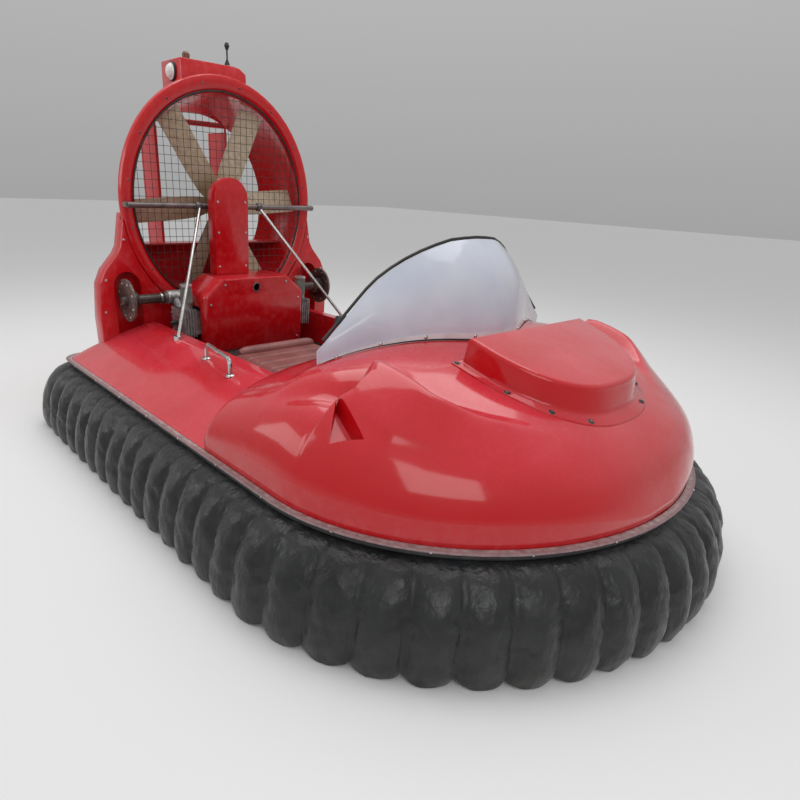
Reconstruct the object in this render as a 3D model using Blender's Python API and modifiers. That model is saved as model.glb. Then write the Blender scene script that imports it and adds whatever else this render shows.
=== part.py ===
# Small open hovercraft: one ducted fan at the stern, two rudders, handlebar steering, finger skirt.
# World frame: +X is forward, +Y is port, +Z is up. The origin is on the ground under the middle.
import math

import bmesh
import bpy
from mathutils import Matrix, Vector

# Hull plan, as stations ahead of the stern edge
HULL_LENGTH = 2.56
HALF_BEAM = 0.90
BOW_LENGTH = 0.75
STERN_CORNER = 0.10
RAIL_Z = 0.336
SEAM_Z = 0.3200
DECK_INSET = 0.006
FIT = 0.0005
WALL = 0.012

# Skirt: outward reach and height of its profile, from under the rail to the hem
SKIRT_TOP_Z = 0.3120
SKIRT_HEM_Z = 0.0040
SKIRT_PROFILE = [(0.002, SKIRT_TOP_Z), (0.062, 0.284), (0.112, 0.215), (0.138, 0.130),
                 (0.148, 0.055), (0.140, SKIRT_HEM_Z)]
FINGER_DEPTH = 0.026
FINGER_STEPS = ((0.0, 0.0), (0.16, 0.72), (0.50, 1.0), (0.84, 0.72))
FABRIC_THICK = 0.005
FINGERS_BOW = 11
FINGERS_SIDE = 15
FINGERS_STERN = 13
SPAN_SPLIT = 0.001

# Cockpit well and side decks
WELL_AFT = 0.12
WELL_FORE = 2.02
WELL_HALF = 0.46
FLOOR_Z = 0.170
DECK_Z = 0.490
DECK_INNER = 0.520
STERN_SLOPE = 0.14

# Fore cowl: heights along its middle, and the crest of each side fairing with its rise
COWL_AFT = 1.405
RIM_DROP = 0.022
RIM_ROUND = 0.028
RIDGE = [(1.40, 0.600), (1.50, 0.642), (1.60, 0.682), (1.67, 0.712), (1.80, 0.728), (1.95, 0.712),
         (2.10, 0.675), (2.25, 0.630), (2.38, 0.575), (2.48, 0.495), (2.56, 0.350)]
CREST_Y = [(1.80, 0.612), (1.95, 0.610), (2.07, 0.600), (2.13, 0.565), (2.19, 0.516),
           (2.26, 0.438), (2.34, 0.360)]
CREST_RISE = [(1.80, 0.066), (2.05, 0.068), (2.13, 0.046), (2.19, 0.024), (2.26, 0.010),
              (2.33, 0.0)]
CREST_INNER = 0.085
CREST_OUTER = 0.240
CREST_LIMIT = 0.720
CREST_FLANK = [(0.0, 1.0), (0.42, 0.55), (0.50, 0.40), (0.67, 0.25), (1.0, 0.0)]
# The fairing's blunt rear edge: straight across, then swept forward to the recess's far corner
BEAK_AT = 1.885
BEAK_Y = 0.730
RECESS_END = (2.040, 0.765)
RECESS_APEX = (1.960, 0.818)
RECESS_DEPTH = 0.034
GROOVE_START = (1.600, 0.800)
GROOVE_END = (1.885, 0.672)
GROOVE_DEPTH = 0.026
GROOVE_HALF = 0.050

# Nose hatch: station of its back, half width, station of its front, from flange to top
HATCH_BASE = (1.968, 0.350, 2.380)
HATCH_WALL = (1.990, 0.322, 2.342)
HATCH_CREST = (2.000, 0.312, 2.320)
HATCH_TOP_Z = 0.779
HATCH_SLANT = 0.30
HATCH_UNDER = 0.540
HATCH_FLANGE = 0.004
HATCH_BOW_POWER = 2.4
HATCH_SIDE_POWER = 2.6

# Windscreen: half breadth with the station of the foot, and with station and height of the free edge
SCREEN_HALF = 0.620
SCREEN_FOOT = [(0.0, 1.900), (0.10, 1.882), (0.22, 1.828), (0.35, 1.765), (0.50, 1.700), (0.62, 1.660)]
SCREEN_EDGE_AT = [(0.0, 1.736), (0.10, 1.726), (0.20, 1.704), (0.30, 1.675), (0.40, 1.656), (0.62, 1.657)]
SCREEN_EDGE_Z = [(0.0, 1.018), (0.10, 1.013), (0.20, 0.987), (0.30, 0.943), (0.40, 0.881), (0.50, 0.799),
                 (0.62, 0.700)]
SCREEN_BOW = 0.030
TRIM_SHARE = 0.960
TRIM_OFFSET = 0.0095

# Fan, duct and rudders
AXIS_Z = 1.035
THROAT_R = 0.490
DUCT_R = 0.530
LIP_R = 0.566
LIP_FRONT = 0.108
DUCT_AFT = -0.200
OUTLET_R = 0.425
OUTLET_WALL = 0.020
FAN_AT = 0.040
TIP_GAP = 0.013
BLADES = 6
FIRST_BLADE = 34
SHAFT_R = 0.014
GUARD_AT = 0.0965
GUARD_R = 0.5030
GUARD_PITCH = 0.15
GUARD_WIRE = 0.004
BAR_AT = 0.150
RUDDER_AXIS = -0.2205
RUDDER_CHORD = 0.195
RUDDER_NOSE = 0.012
RUDDER_SPREAD = 0.21
RUDDER_LOW = 0.6825
RUDDER_HIGH = 1.388

# Steering column: its foot on the floor and its upper end, as stations ahead of the stern
COLUMN_FOOT = (1.760, 0.172)
COLUMN_HEAD = (1.540, 0.600)
GRIP_HALF = 0.335
BAR_RISE = 0.085

# Bench across the well, grab rails on the side decks
SEAT_AFT = 0.580
SEAT_FORE = 0.940
SEAT_HALF = 0.250
SEAT_Z = 0.320
CUSHION_Z = 0.400
SEAT_LIP = 0.020
ROLL_R = 0.030
GRAB_BACK = (0.837, 0.555)
GRAB_FRONT = (1.073, 0.582)
GRAB_RISE = 0.065
STAY_FOOT = (0.510, 0.522)

# Cockpit opening in the cowl: half widths at stations from its back to its front
OPENING = [(1.380, 0.460), (1.440, 0.470), (1.560, 0.485), (1.640, 0.470), (1.700, 0.420),
           (1.750, 0.320), (1.785, 0.180), (1.795, 0.060)]

# Engine cover's face as (y, z), and the belt guard on it
COVER_TOP = 0.720
COVER_FACE = [(-0.310, 0.360), (0.310, 0.360), (0.310, 0.640), (0.205, COVER_TOP), (-0.205, COVER_TOP),
              (-0.310, 0.640)]
GUARD_HALF = 0.098
GUARD_SIDE = -0.055
GUARD_SPRING = 1.070
SHAFT_END = 0.228

# Side supports of the duct, each with a round-topped pocket in its front face
PEDESTAL_INNER = 0.120
PEDESTAL_AFT = 0.010
PEDESTAL_FORE = 0.100
POCKET_AFT = 0.024
POCKET_Y = 0.575
POCKET_HALF = 0.070
POCKET_SPRING = 0.665

# Engine: its block, the finned cylinders at its sides, and the exhausts that run out level
BLOCK_LOW = (0.190, -0.240, FLOOR_Z + FIT)
BLOCK_HIGH = (0.365, 0.240, 0.600)
BARREL_LOW = (0.215, 0.200, 0.450)
BARREL_HIGH = (0.340, 0.400, 0.565)
FIN_FIRST = 0.334
FIN_PITCH = 0.015
FIN_THICK = 0.005
FIN_PROUD = 0.010
FINS = 5
PORT_Y = 0.360
FILTER_AT = 0.305
FILTER_TOP = 0.690
EXHAUST_AT = 0.170
EXHAUST_Z = 0.612
ELBOW_START = 0.318
ELBOW_END = 0.405
FLANGE_Y = 0.612
FLANGE_R = 0.100
CAN_REACH = 0.050

# Splitter in the duct: it turns the lowest part of the fan's air down into the hull
SPLITTER_FORE = -0.015
SPLITTER_AFT = -0.184
SPLITTER_Z = 0.850
SPLITTER_FOOT = 0.560
SPLITTER_BEND = 0.070
SPLITTER_THICK = 0.008

# Blade sections from root to tip: radius, chord, pitch, thickness
BLADE_STATIONS = ((0.045, 0.080, 40, 0.016), (0.110, 0.112, 30, 0.011),
                  (0.200, 0.122, 26, 0.009), (THROAT_R - TIP_GAP, 0.120, 24, 0.007))

# Tail box on top of the duct
TAIL_AFT = -0.150
TAIL_FORE = 0.050
TAIL_STARBOARD = -0.185
TAIL_PORT = 0.178
TAIL_TOP = 1.650

MERGE = 0.0001
EDGE_THICK = 0.012
CUT_HEADROOM = 0.080
TURNS = {"X": (0.0, math.pi / 2, 0.0), "Y": (-math.pi / 2, 0.0, 0.0), "-Y": (math.pi / 2, 0.0, 0.0),
         "Z": (0.0, 0.0, 0.0)}

RED = (0.62, 0.012, 0.016)
BLACK = (0.012, 0.012, 0.014)
STEEL = (0.62, 0.62, 0.62)
FABRIC = (0.020, 0.021, 0.024)


def at(station, y=0.0, z=0.0):
    """World point from a distance ahead of the hull's stern edge."""
    return Vector((station - MIDSHIP, y, z))


def new_scene():
    for item in list(bpy.data.objects):
        bpy.data.objects.remove(item, do_unlink=True)
    craft = bpy.data.collections.new("hovercraft")
    cutters = bpy.data.collections.new("cutters")
    bpy.context.scene.collection.children.link(craft)
    bpy.context.scene.collection.children.link(cutters)
    return craft, cutters


CRAFT, CUTTERS = new_scene()


def finish(name, colour, roughness, metallic=0.0, alpha=1.0):
    material = bpy.data.materials.new(name)
    material.use_nodes = True
    shader = material.node_tree.nodes["Principled BSDF"]
    shader.inputs["Base Color"].default_value = (*colour, 1.0)
    shader.inputs["Roughness"].default_value = roughness
    shader.inputs["Metallic"].default_value = metallic
    shader.inputs["Alpha"].default_value = alpha
    return material


def add_object(name, mesh, look):
    item = bpy.data.objects.new(name, mesh)
    CRAFT.objects.link(item)
    if look is not None:
        mesh.materials.append(finish(name, *look))
    return item


def from_bmesh(name, shape, look, smooth=None):
    bmesh.ops.recalc_face_normals(shape, faces=shape.faces)
    mesh = bpy.data.meshes.new(name)
    shape.to_mesh(mesh)
    shape.free()
    if smooth is not None:
        mesh.shade_smooth()
        mesh.set_sharp_from_angle(angle=math.radians(smooth))
    return add_object(name, mesh, look)


def as_cutter(item):
    item.hide_render = True
    item.display_type = "WIRE"
    for home in list(item.users_collection):
        home.objects.unlink(item)
    CUTTERS.objects.link(item)
    return item


def boolean(target, other, operation):
    step = target.modifiers.new(operation.lower(), "BOOLEAN")
    step.operation = operation
    step.object = other
    return step


def bevelled(item, width, segments=2, angle=40):
    step = item.modifiers.new("edges", "BEVEL")
    step.width = width
    step.segments = segments
    step.limit_method = "ANGLE"
    step.angle_limit = math.radians(angle)
    return item


def mirrored(item):
    """The starboard half of a piece whose port half is open at the middle plane."""
    step = item.modifiers.new("other_half", "MIRROR")
    step.use_axis = (False, True, False)
    step.merge_threshold = MERGE
    return item


def box(name, low, high, look, bevel=0.0, segments=2):
    shape = bmesh.new()
    bmesh.ops.create_cube(shape, size=1.0)
    middle = (Vector(low) + Vector(high)) / 2
    size = Vector(high) - Vector(low)
    bmesh.ops.scale(shape, vec=size, verts=shape.verts)
    item = from_bmesh(name, shape, look)
    item.location = middle
    if bevel:
        bevelled(item, bevel, segments)
    return item


def cylinder(name, start, end, radius, look, sides=32, end_radius=None):
    start, end = Vector(start), Vector(end)
    shape = bmesh.new()
    bmesh.ops.create_cone(shape, cap_ends=True, segments=sides, radius1=radius,
                          radius2=radius if end_radius is None else end_radius,
                          depth=(end - start).length)
    item = from_bmesh(name, shape, look, smooth=40)
    turn = (end - start).to_track_quat("Z", "Y").to_matrix().to_4x4()
    item.matrix_world = Matrix.Translation((start + end) / 2) @ turn
    return item


def tube(name, points, radius, look, resolution=3, cyclic=False):
    """A bent tube as a closed mesh, made from a bevelled curve."""
    curve = bpy.data.curves.new(name + "_path", "CURVE")
    curve.dimensions = "3D"
    curve.bevel_depth = radius
    curve.bevel_resolution = resolution
    curve.use_fill_caps = True
    line = curve.splines.new("POLY")
    line.points.add(len(points) - 1)
    line.use_cyclic_u = cyclic
    for spot, point in zip(line.points, points):
        spot.co = (*point, 1.0)
    path = bpy.data.objects.new(name + "_path", curve)
    CRAFT.objects.link(path)
    return curve_to_mesh(name, path, look)


def curve_to_mesh(name, path, look):
    graph = bpy.context.evaluated_depsgraph_get()
    graph.update()
    mesh = bpy.data.meshes.new_from_object(path.evaluated_get(graph))
    mesh.materials.clear()
    shape = bmesh.new()
    shape.from_mesh(mesh)
    bmesh.ops.remove_doubles(shape, verts=shape.verts, dist=MERGE / 2)
    bmesh.ops.recalc_face_normals(shape, faces=shape.faces)
    shape.to_mesh(mesh)
    shape.free()
    mesh.shade_smooth()
    mesh.set_sharp_from_angle(angle=math.radians(50))
    item = add_object(name, mesh, look)
    item.matrix_world = path.matrix_world
    bpy.data.objects.remove(path, do_unlink=True)
    return item


def rounded_path(points, radius, steps=5):
    """Corner points joined by straight runs, each inner corner rounded by an arc."""
    points = [Vector(p) for p in points]
    path = [points[0]]
    for before, corner, after in zip(points, points[1:], points[2:]):
        one, two = (before - corner).normalized(), (after - corner).normalized()
        reach = min(radius, (before - corner).length / 2.2, (after - corner).length / 2.2)
        for i in range(steps + 1):
            t = i / steps
            path.append(corner + one * reach * (1 - t) ** 2 + two * reach * t ** 2)
    path.append(points[-1])
    return path


def turned(name, profile, centre, look, steps=48, axis="X"):
    """A body turned about an axis through centre. The profile's (place, radius) points start at its
    front end and run down its outer side, and a profile off the axis closes up its inner side."""
    points = [(radius, 0.0, place) for place, radius in profile]
    edges = [(i, i + 1) for i in range(len(points) - 1)]
    if profile[0][1] > 0:
        edges.append((len(points) - 1, 0))
    mesh = bpy.data.meshes.new(name)
    mesh.from_pydata(points, edges, [])
    item = add_object(name, mesh, look)
    item.location = centre
    item.rotation_euler = TURNS[axis]
    screw = item.modifiers.new("turning", "SCREW")
    screw.steps = steps
    screw.render_steps = steps
    screw.use_merge_vertices = True
    screw.merge_threshold = MERGE
    return item


def loft(name, rings, look, smooth=None, ring_shaped=False):
    """A closed body through outlines of equal length: its two ends filled, or joined as a ring."""
    shape = bmesh.new()
    rows = [[shape.verts.new(point) for point in ring] for ring in rings]
    count = len(rows[0])
    pairs = list(zip(rows, rows[1:]))
    if ring_shaped:
        pairs.append((rows[-1], rows[0]))
    else:
        shape.faces.new(rows[0])
        shape.faces.new(rows[-1])
    for one, two in pairs:
        for i in range(count):
            j = (i + 1) % count
            shape.faces.new((one[i], one[j], two[j], two[i]))
    return from_bmesh(name, shape, look, smooth=smooth)


def flat_piece(name, outline, place, thickness, look):
    """A flat outline with thickness, as a filled 2D curve turned into a closed mesh."""
    curve = bpy.data.curves.new(name + "_outline", "CURVE")
    curve.dimensions = "2D"
    curve.fill_mode = "BOTH"
    curve.extrude = thickness / 2
    line = curve.splines.new("POLY")
    line.points.add(len(outline) - 1)
    line.use_cyclic_u = True
    for spot, (across, along) in zip(line.points, outline):
        spot.co = (across, along, 0.0, 1.0)
    path = bpy.data.objects.new(name + "_outline", curve)
    CRAFT.objects.link(path)
    path.matrix_world = place
    return curve_to_mesh(name, path, look)


def prism(name, outline, x_low, x_high, look, bevel=0.0):
    """A flat outline of (y, z) points between two stations."""
    middle = at((x_low + x_high) / 2)
    place = Matrix(((0, 0, 1, middle.x), (1, 0, 0, 0), (0, 1, 0, 0), (0, 0, 0, 1)))
    item = flat_piece(name, outline, place, x_high - x_low, look)
    if bevel:
        bevelled(item, bevel)
    return item


def slab(name, outline, z_low, z_high, look):
    """A flat outline of (station, y) points between two heights."""
    return flat_piece(name, outline, Matrix.Translation(at(0.0, 0.0, (z_low + z_high) / 2)),
                      z_high - z_low, look)


def arch(half, foot, spring, steps=12):
    """An upright outline with a round top of the given half width, about y = 0."""
    points = [(-half, foot), (half, foot)]
    for i in range(steps + 1):
        angle = math.pi * i / steps
        points.append((half * math.cos(angle), spring + half * math.sin(angle)))
    return points


def shifted(outline, side, y):
    return [(side * (across + y), up) for across, up in outline]


# The hull's plan: straight sides, an elliptic bow, rounded stern corners

BOW_START = HULL_LENGTH - BOW_LENGTH


def half_plan(grow=0.0, bow_steps=48):
    """Plan points of the port half, from the stern's middle to the stem, grown outward."""
    half, stern = HALF_BEAM + grow, -grow
    points = [Vector((stern, 0.0)), Vector((stern, half - STERN_CORNER))]
    corner = Vector((stern + STERN_CORNER, half - STERN_CORNER))
    for i in range(1, 7):
        angle = math.pi / 2 * i / 6
        points.append(corner + STERN_CORNER * Vector((-math.cos(angle), math.sin(angle))))
    for i in range(bow_steps + 1):
        angle = math.pi / 2 * i / bow_steps
        points.append(Vector((BOW_START + (BOW_LENGTH + grow) * math.sin(angle),
                              half * math.cos(angle))))
    return points


def walk(points):
    """Running length at each plan point."""
    lengths = [0.0]
    for one, two in zip(points, points[1:]):
        lengths.append(lengths[-1] + (two - one).length)
    return lengths


PORT_PLAN = half_plan()
PORT_WALK = walk(PORT_PLAN)
PLAN_HALF = PORT_WALK[-1]


def plan_place(distance):
    """Point at a distance along the port half plan."""
    distance = min(max(distance, 0.0), PLAN_HALF)
    index = 0
    while index < len(PORT_WALK) - 2 and PORT_WALK[index + 1] < distance:
        index += 1
    one, two = PORT_PLAN[index], PORT_PLAN[index + 1]
    share = (distance - PORT_WALK[index]) / (PORT_WALK[index + 1] - PORT_WALK[index])
    return one.lerp(two, share)


def plan_normal(distance):
    step = 0.012
    ahead = plan_place(distance + step)
    behind = plan_place(distance - step)
    if distance < step:
        return Vector((-1.0, 0.0))
    if distance > PLAN_HALF - step:
        return Vector((1.0, 0.0))
    along = (ahead - behind).normalized()
    return Vector((-along.y, along.x))


def plan_ring(grow, z, bow_steps=24):
    """Closed ring round the hull plan, grown outward."""
    half = half_plan(grow, bow_steps)
    ring = [at(point.x, point.y, z) for point in half]
    ring += [at(point.x, -point.y, z) for point in half[-2:0:-1]]
    return ring


def half_width(station, grow=0.0):
    """Half the width at a station, on the plan's own edge or on the plan grown outward."""
    half = HALF_BEAM + grow
    run = station + grow
    if run < STERN_CORNER:
        rise = STERN_CORNER ** 2 - (STERN_CORNER - run) ** 2
        return half - STERN_CORNER + math.sqrt(max(rise, 0.0))
    if station <= BOW_START:
        return half
    share = (station - BOW_START) / (BOW_LENGTH + grow)
    return half * math.sqrt(max(1 - share * share, 0.0))


# Hull, deck and cowl

def hull_bottom():
    rings = [plan_ring(-DECK_INSET, SEAM_Z), plan_ring(-0.050, 0.200), plan_ring(-0.170, 0.090)]
    hull = loft("hull_bottom", rings, (BLACK, 0.5), smooth=40)
    boolean(hull, well_cutter(), "DIFFERENCE")
    return hull


def well_cutter():
    if "well" in bpy.data.objects:
        return bpy.data.objects["well"]
    cutter = box("well", at(WELL_AFT, -WELL_HALF, FLOOR_Z), at(WELL_FORE, WELL_HALF, 0.8), None,
                 bevel=0.05, segments=3)
    return as_cutter(cutter)


def deck_height(station, y):
    """Height of the side decks: a slope up from the rail to a level strip by the well."""
    edge = half_width(station) - abs(y)
    side = RAIL_Z + max(edge, 0.0) * (DECK_Z - RAIL_Z) / (HALF_BEAM - DECK_INNER)
    stern = RAIL_Z + station * (DECK_Z - RAIL_Z) / STERN_SLOPE
    return min(side, stern, DECK_Z)


def height_body(name, stations, places, height, base, look, smooth=None):
    """A closed body between a flat base and a height field, as a port half and its mirror image.
    places gives the y places of the section at a station, from the middle to the edge."""
    shape = bmesh.new()
    rows = []
    for station in stations:
        across = places(station)
        top = [at(station, y, max(height(station, y), base + EDGE_THICK)) for y in across]
        bottom = [at(station, y, base) for y in reversed(across)]
        rows.append([shape.verts.new(point) for point in top + bottom])
    for one, two in zip(rows, rows[1:]):
        for i in range(len(one) - 1):
            shape.faces.new((one[i], one[i + 1], two[i + 1], two[i]))
    shape.faces.new(rows[0])
    shape.faces.new(rows[-1])
    return mirrored(from_bmesh(name, shape, look, smooth=smooth))


def deck_places(station):
    width = half_width(station, -DECK_INSET)
    return [width * share for share in (0.0, 0.52, 0.578, 0.80, 0.98, 1.0)]


def main_deck():
    stations = [DECK_INSET + 0.0002, 0.02, 0.05, 0.10, STERN_SLOPE, 0.5, 1.0, COWL_AFT - FIT]
    deck = height_body("main_deck", stations, deck_places, deck_height, SEAM_Z + FIT, (RED, 0.15))
    boolean(deck, well_cutter(), "DIFFERENCE")
    return deck


def table(points, value):
    """Smooth reading between the (place, value) pairs of a short list."""
    if value <= points[0][0]:
        return points[0][1]
    for i in range(len(points) - 1):
        (x0, y0), (x1, y1) = points[i], points[i + 1]
        if value <= x1:
            slopes = [slope_at(points, i), slope_at(points, i + 1)]
            t = (value - x0) / (x1 - x0)
            run = x1 - x0
            return ((2 * t ** 3 - 3 * t ** 2 + 1) * y0 + (t ** 3 - 2 * t ** 2 + t) * run * slopes[0]
                    + (3 * t ** 2 - 2 * t ** 3) * y1 + (t ** 3 - t ** 2) * run * slopes[1])
    return points[-1][1]


def slope_at(points, i):
    """Slope of a smooth line through a list's point, level where the list turns back."""
    if i == 0 or i == len(points) - 1:
        near = points[1] if i == 0 else points[-2]
        return (near[1] - points[i][1]) / (near[0] - points[i][0])
    before = (points[i][1] - points[i - 1][1]) / (points[i][0] - points[i - 1][0])
    after = (points[i + 1][1] - points[i][1]) / (points[i + 1][0] - points[i][0])
    if before * after <= 0:
        return 0.0
    return 2 * before * after / (before + after)


def groove_drop(station, y):
    """Depth of the tapered hollow that runs forward to the foot of the fairing's rear edge."""
    start, end = Vector(GROOVE_START), Vector(GROOVE_END)
    spot = Vector((station, abs(y)))
    along = (spot - start).dot(end - start) / (end - start).length_squared
    if along <= 0 or station > BEAK_AT:
        return 0.0
    off = (spot - start.lerp(end, along)).length / GROOVE_HALF
    return GROOVE_DEPTH * along * math.exp(-off * off)


def skin_height(station, y):
    """Height of the fore cowl without its side fairings, its rear edge rounded down."""
    width = half_width(station)
    share = min(abs(y) / width, 1.0) if width > 0.001 else 1.0
    rise = table(RIDGE, station) - RAIL_Z
    height = RAIL_Z + rise * (1 - share ** 3.0) ** 0.40
    back = (station - COWL_AFT) / RIM_ROUND
    if back < 1:
        height -= RIM_DROP * (1 - math.sqrt(max(1 - (1 - back) ** 2, 0.0)))
    return height - groove_drop(station, y)


def crest_place(station):
    """How far out the side fairing's crest runs at a station."""
    return min(table(CREST_Y, station), CREST_LIMIT * half_width(station))


def fairing_rise(station, y):
    """Rise of the side fairing over the cowl's skin, full at once behind its blunt rear edge."""
    if station < BEAK_AT:
        return 0.0
    out = abs(y) - crest_place(station)
    if out < 0:
        share = min(-out / CREST_INNER, 1.0)
        shape = 0.5 + 0.5 * math.cos(math.pi * share)
    else:
        shape = table(CREST_FLANK, out / CREST_OUTER)
    return table(CREST_RISE, station) * shape


def cowl_height(station, y):
    return skin_height(station, y) + fairing_rise(station, y)


def cowl_places(station):
    """Places across the port half of the cowl, close together about the fairing's crest."""
    width = half_width(station, -DECK_INSET)
    crest = min(crest_place(station), CREST_LIMIT * width)
    inner = min(CREST_INNER, crest * 0.3)
    outer = min(CREST_OUTER, (width - crest) * 0.8)
    places = [(crest - inner) * share for share in (0.0, 0.25, 0.50, 0.70, 0.87, 1.0)]
    places += [crest - inner * share for share in (0.75, 0.50, 0.25, 0.0)]
    places += [crest + outer * share for share in (0.15, 0.42, 0.67, 1.0)]
    edge = crest + outer
    return places + [edge + (width - edge) * share for share in (0.4, 0.75, 0.93, 1.0)]


def recess_cutter(side):
    """The three-cornered hollow behind the swept edge of the fairing's flank."""
    corners = [(BEAK_AT, BEAK_Y), RECESS_APEX, RECESS_END]
    depths = [RECESS_DEPTH / 2, 0.0, RECESS_DEPTH]
    shape = bmesh.new()
    for (station, y), depth in zip(corners, depths):
        surface = skin_height(station, y)
        for z in (surface + CUT_HEADROOM, surface - depth):
            shape.verts.new(at(station, side * y, z))
    bmesh.ops.convex_hull(shape, input=shape.verts)
    return as_cutter(from_bmesh(f"recess_{side}", shape, None))


def hollow_roof(station, y):
    """Height of the hollow under the cowl, lower below the groove and the recess."""
    roof = skin_height(station, y) - WALL - 0.006
    if GROOVE_START[0] - 0.05 < station < RECESS_END[0] + 0.05 and abs(y) > 0.60:
        roof -= RECESS_DEPTH
    return roof


def cowl_cavity():
    """The hollow under the cowl, one wall thickness inside its surface."""
    stations = [COWL_AFT + 0.015, 1.50, 1.56, 1.67, 1.80, 1.95, 2.09, 2.11, 2.25, 2.36, 2.42]
    shares = [-0.96, -0.90, -0.75, -0.5, 0.0, 0.5, 0.75, 0.90, 0.96]
    rings = []
    for station in stations:
        width = half_width(station, -DECK_INSET - WALL)
        top = []
        for s in shares:
            roof = hollow_roof(station, half_width(station) * (abs(s) * 0.97 + 0.025))
            top.append(at(station, width * s, max(roof, SEAM_Z + EDGE_THICK)))
        bottom = [at(station, width * s, SEAM_Z - 0.05) for s in reversed(shares)]
        rings.append(top + bottom)
    return as_cutter(loft("cowl_cavity", rings, None))


def opening_cutter():
    outline = OPENING + [(x, -y) for x, y in reversed(OPENING)]
    return as_cutter(slab("cockpit_opening", outline, SEAM_Z - 0.05, 0.95, None))


def hatch_outline(size, grow=0.0, points=16):
    """D shape of the nose hatch, square behind and round ahead, as (station, y)."""
    back, half, front = size
    back, half, front = back - grow, half + grow, front + grow
    outline = []
    for i in range(points + 1):
        angle = math.pi * (i / points - 0.5)
        ahead = max(math.cos(angle), 0.0) ** (2 / HATCH_BOW_POWER)
        aside = abs(math.sin(angle)) ** (2 / HATCH_SIDE_POWER)
        outline.append((back + (front - back) * ahead, math.copysign(half * aside, angle)))
    return outline


def hatch_top(station):
    """The hatch's flat top slants down towards the bow."""
    return HATCH_TOP_Z - (station - HATCH_CREST[0]) * HATCH_SLANT


def nose_hatch():
    flange = hatch_outline(HATCH_BASE)
    foot = hatch_outline(HATCH_WALL)
    shoulder = hatch_outline(HATCH_CREST, 0.004)
    crest = hatch_outline(HATCH_CREST)
    rings = [[at(x, y, HATCH_UNDER) for x, y in flange],
             [at(x, y, cowl_height(x, y) + HATCH_FLANGE) for x, y in flange],
             [at(x, y, cowl_height(x, y) + HATCH_FLANGE + 0.002) for x, y in foot],
             [at(x, y, hatch_top(x) - 0.012) for x, y in shoulder],
             [at(x, y, hatch_top(x)) for x, y in crest]]
    return loft("nose_hatch", rings, (RED, 0.2), smooth=50)


def fore_cowl():
    stations = [COWL_AFT, COWL_AFT + 0.25 * RIM_ROUND, COWL_AFT + RIM_ROUND, 1.50, 1.60, 1.70, 1.79,
                BEAK_AT - 0.001, BEAK_AT + 0.001, 1.94, 2.00, 2.06, 2.12, 2.18, 2.24, 2.30, 2.36, 2.42,
                2.48, 2.52, 2.54, 2.552]
    cowl = height_body("fore_cowl", stations, cowl_places, cowl_height, SEAM_Z + FIT, (RED, 0.15), 50)
    boolean(cowl, cowl_cavity(), "DIFFERENCE")
    boolean(cowl, opening_cutter(), "DIFFERENCE")
    hole = slab("hatch_hole", hatch_outline(HATCH_BASE, 0.001), 0.40, 0.95, None)
    boolean(cowl, as_cutter(hole), "DIFFERENCE")
    for side in (1, -1):
        boolean(cowl, recess_cutter(side), "DIFFERENCE")
    return cowl


def gunwale_rail():
    """Rub rail over the seam between hull and deck."""
    section = [(-0.004, 0.326), (0.014, 0.322), (0.022, 0.332), (0.014, 0.342), (-0.004, 0.340)]
    rings = [plan_ring(offset, z) for offset, z in section]
    return loft("gunwale_rail", rings, (BLACK, 0.4), smooth=40, ring_shaped=True)


# Skirt

def skirt_reach(base, bulge):
    """Outward reach of the skirt: a finger's crest stands one finger depth over its valley."""
    return base + FINGER_DEPTH * bulge * min(base / 0.12, 1.0)


def skirt_span(name, start, end, fingers, side):
    """A run of fingers along the plan between two distances, on one side of the craft."""
    columns = []
    for k in range(fingers):
        for phase, bulge in FINGER_STEPS:
            columns.append(((k + phase) / fingers, bulge))
    columns.append((1.0, 0.0))
    shape = bmesh.new()
    rows = []
    for share, bulge in columns:
        distance = start + (end - start) * share
        spot, normal = span_place(distance), span_normal(distance)
        row = []
        for base, z in SKIRT_PROFILE:
            point = spot + normal * skirt_reach(base, bulge)
            row.append(shape.verts.new(at(point.x, side * point.y, z)))
        rows.append(row)
    for one, two in zip(rows, rows[1:]):
        for i in range(len(one) - 1):
            shape.faces.new((one[i], one[i + 1], two[i + 1], two[i]))
    shape.normal_update()
    shape.faces.ensure_lookup_table()
    middle = shape.faces[len(SKIRT_PROFILE) // 2]
    normal = span_normal(start)
    if middle.normal.dot(Vector((normal.x, side * normal.y, 0))) < 0:
        bmesh.ops.reverse_faces(shape, faces=shape.faces)
    mesh = bpy.data.meshes.new(name)
    shape.to_mesh(mesh)
    shape.free()
    mesh.shade_smooth()
    item = add_object(name, mesh, (FABRIC, 0.6))
    thick = item.modifiers.new("fabric", "SOLIDIFY")
    thick.thickness = FABRIC_THICK
    thick.offset = -1.0
    return item


def span_place(distance):
    """As plan_place, and across the stern's middle for a negative distance."""
    spot = plan_place(abs(distance))
    return Vector((spot.x, math.copysign(spot.y, distance))) if distance else spot


def span_normal(distance):
    normal = plan_normal(abs(distance))
    return Vector((normal.x, math.copysign(1.0, distance) * normal.y))


SIDE_END = PORT_WALK[8]


def bow_reach():
    """Foremost station of the skirt: the crest of the finger beside the stem."""
    distance = PLAN_HALF - (PLAN_HALF - SIDE_END) * 0.5 / FINGERS_BOW
    widest = max(base for base, z in SKIRT_PROFILE)
    return (plan_place(distance) + plan_normal(distance) * skirt_reach(widest, 1.0)).x


# The origin is half way between the rudders' tails and the skirt at the bow
AFT_REACH = RUDDER_AXIS + RUDDER_NOSE - RUDDER_CHORD
MIDSHIP = (AFT_REACH + bow_reach()) / 2


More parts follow.
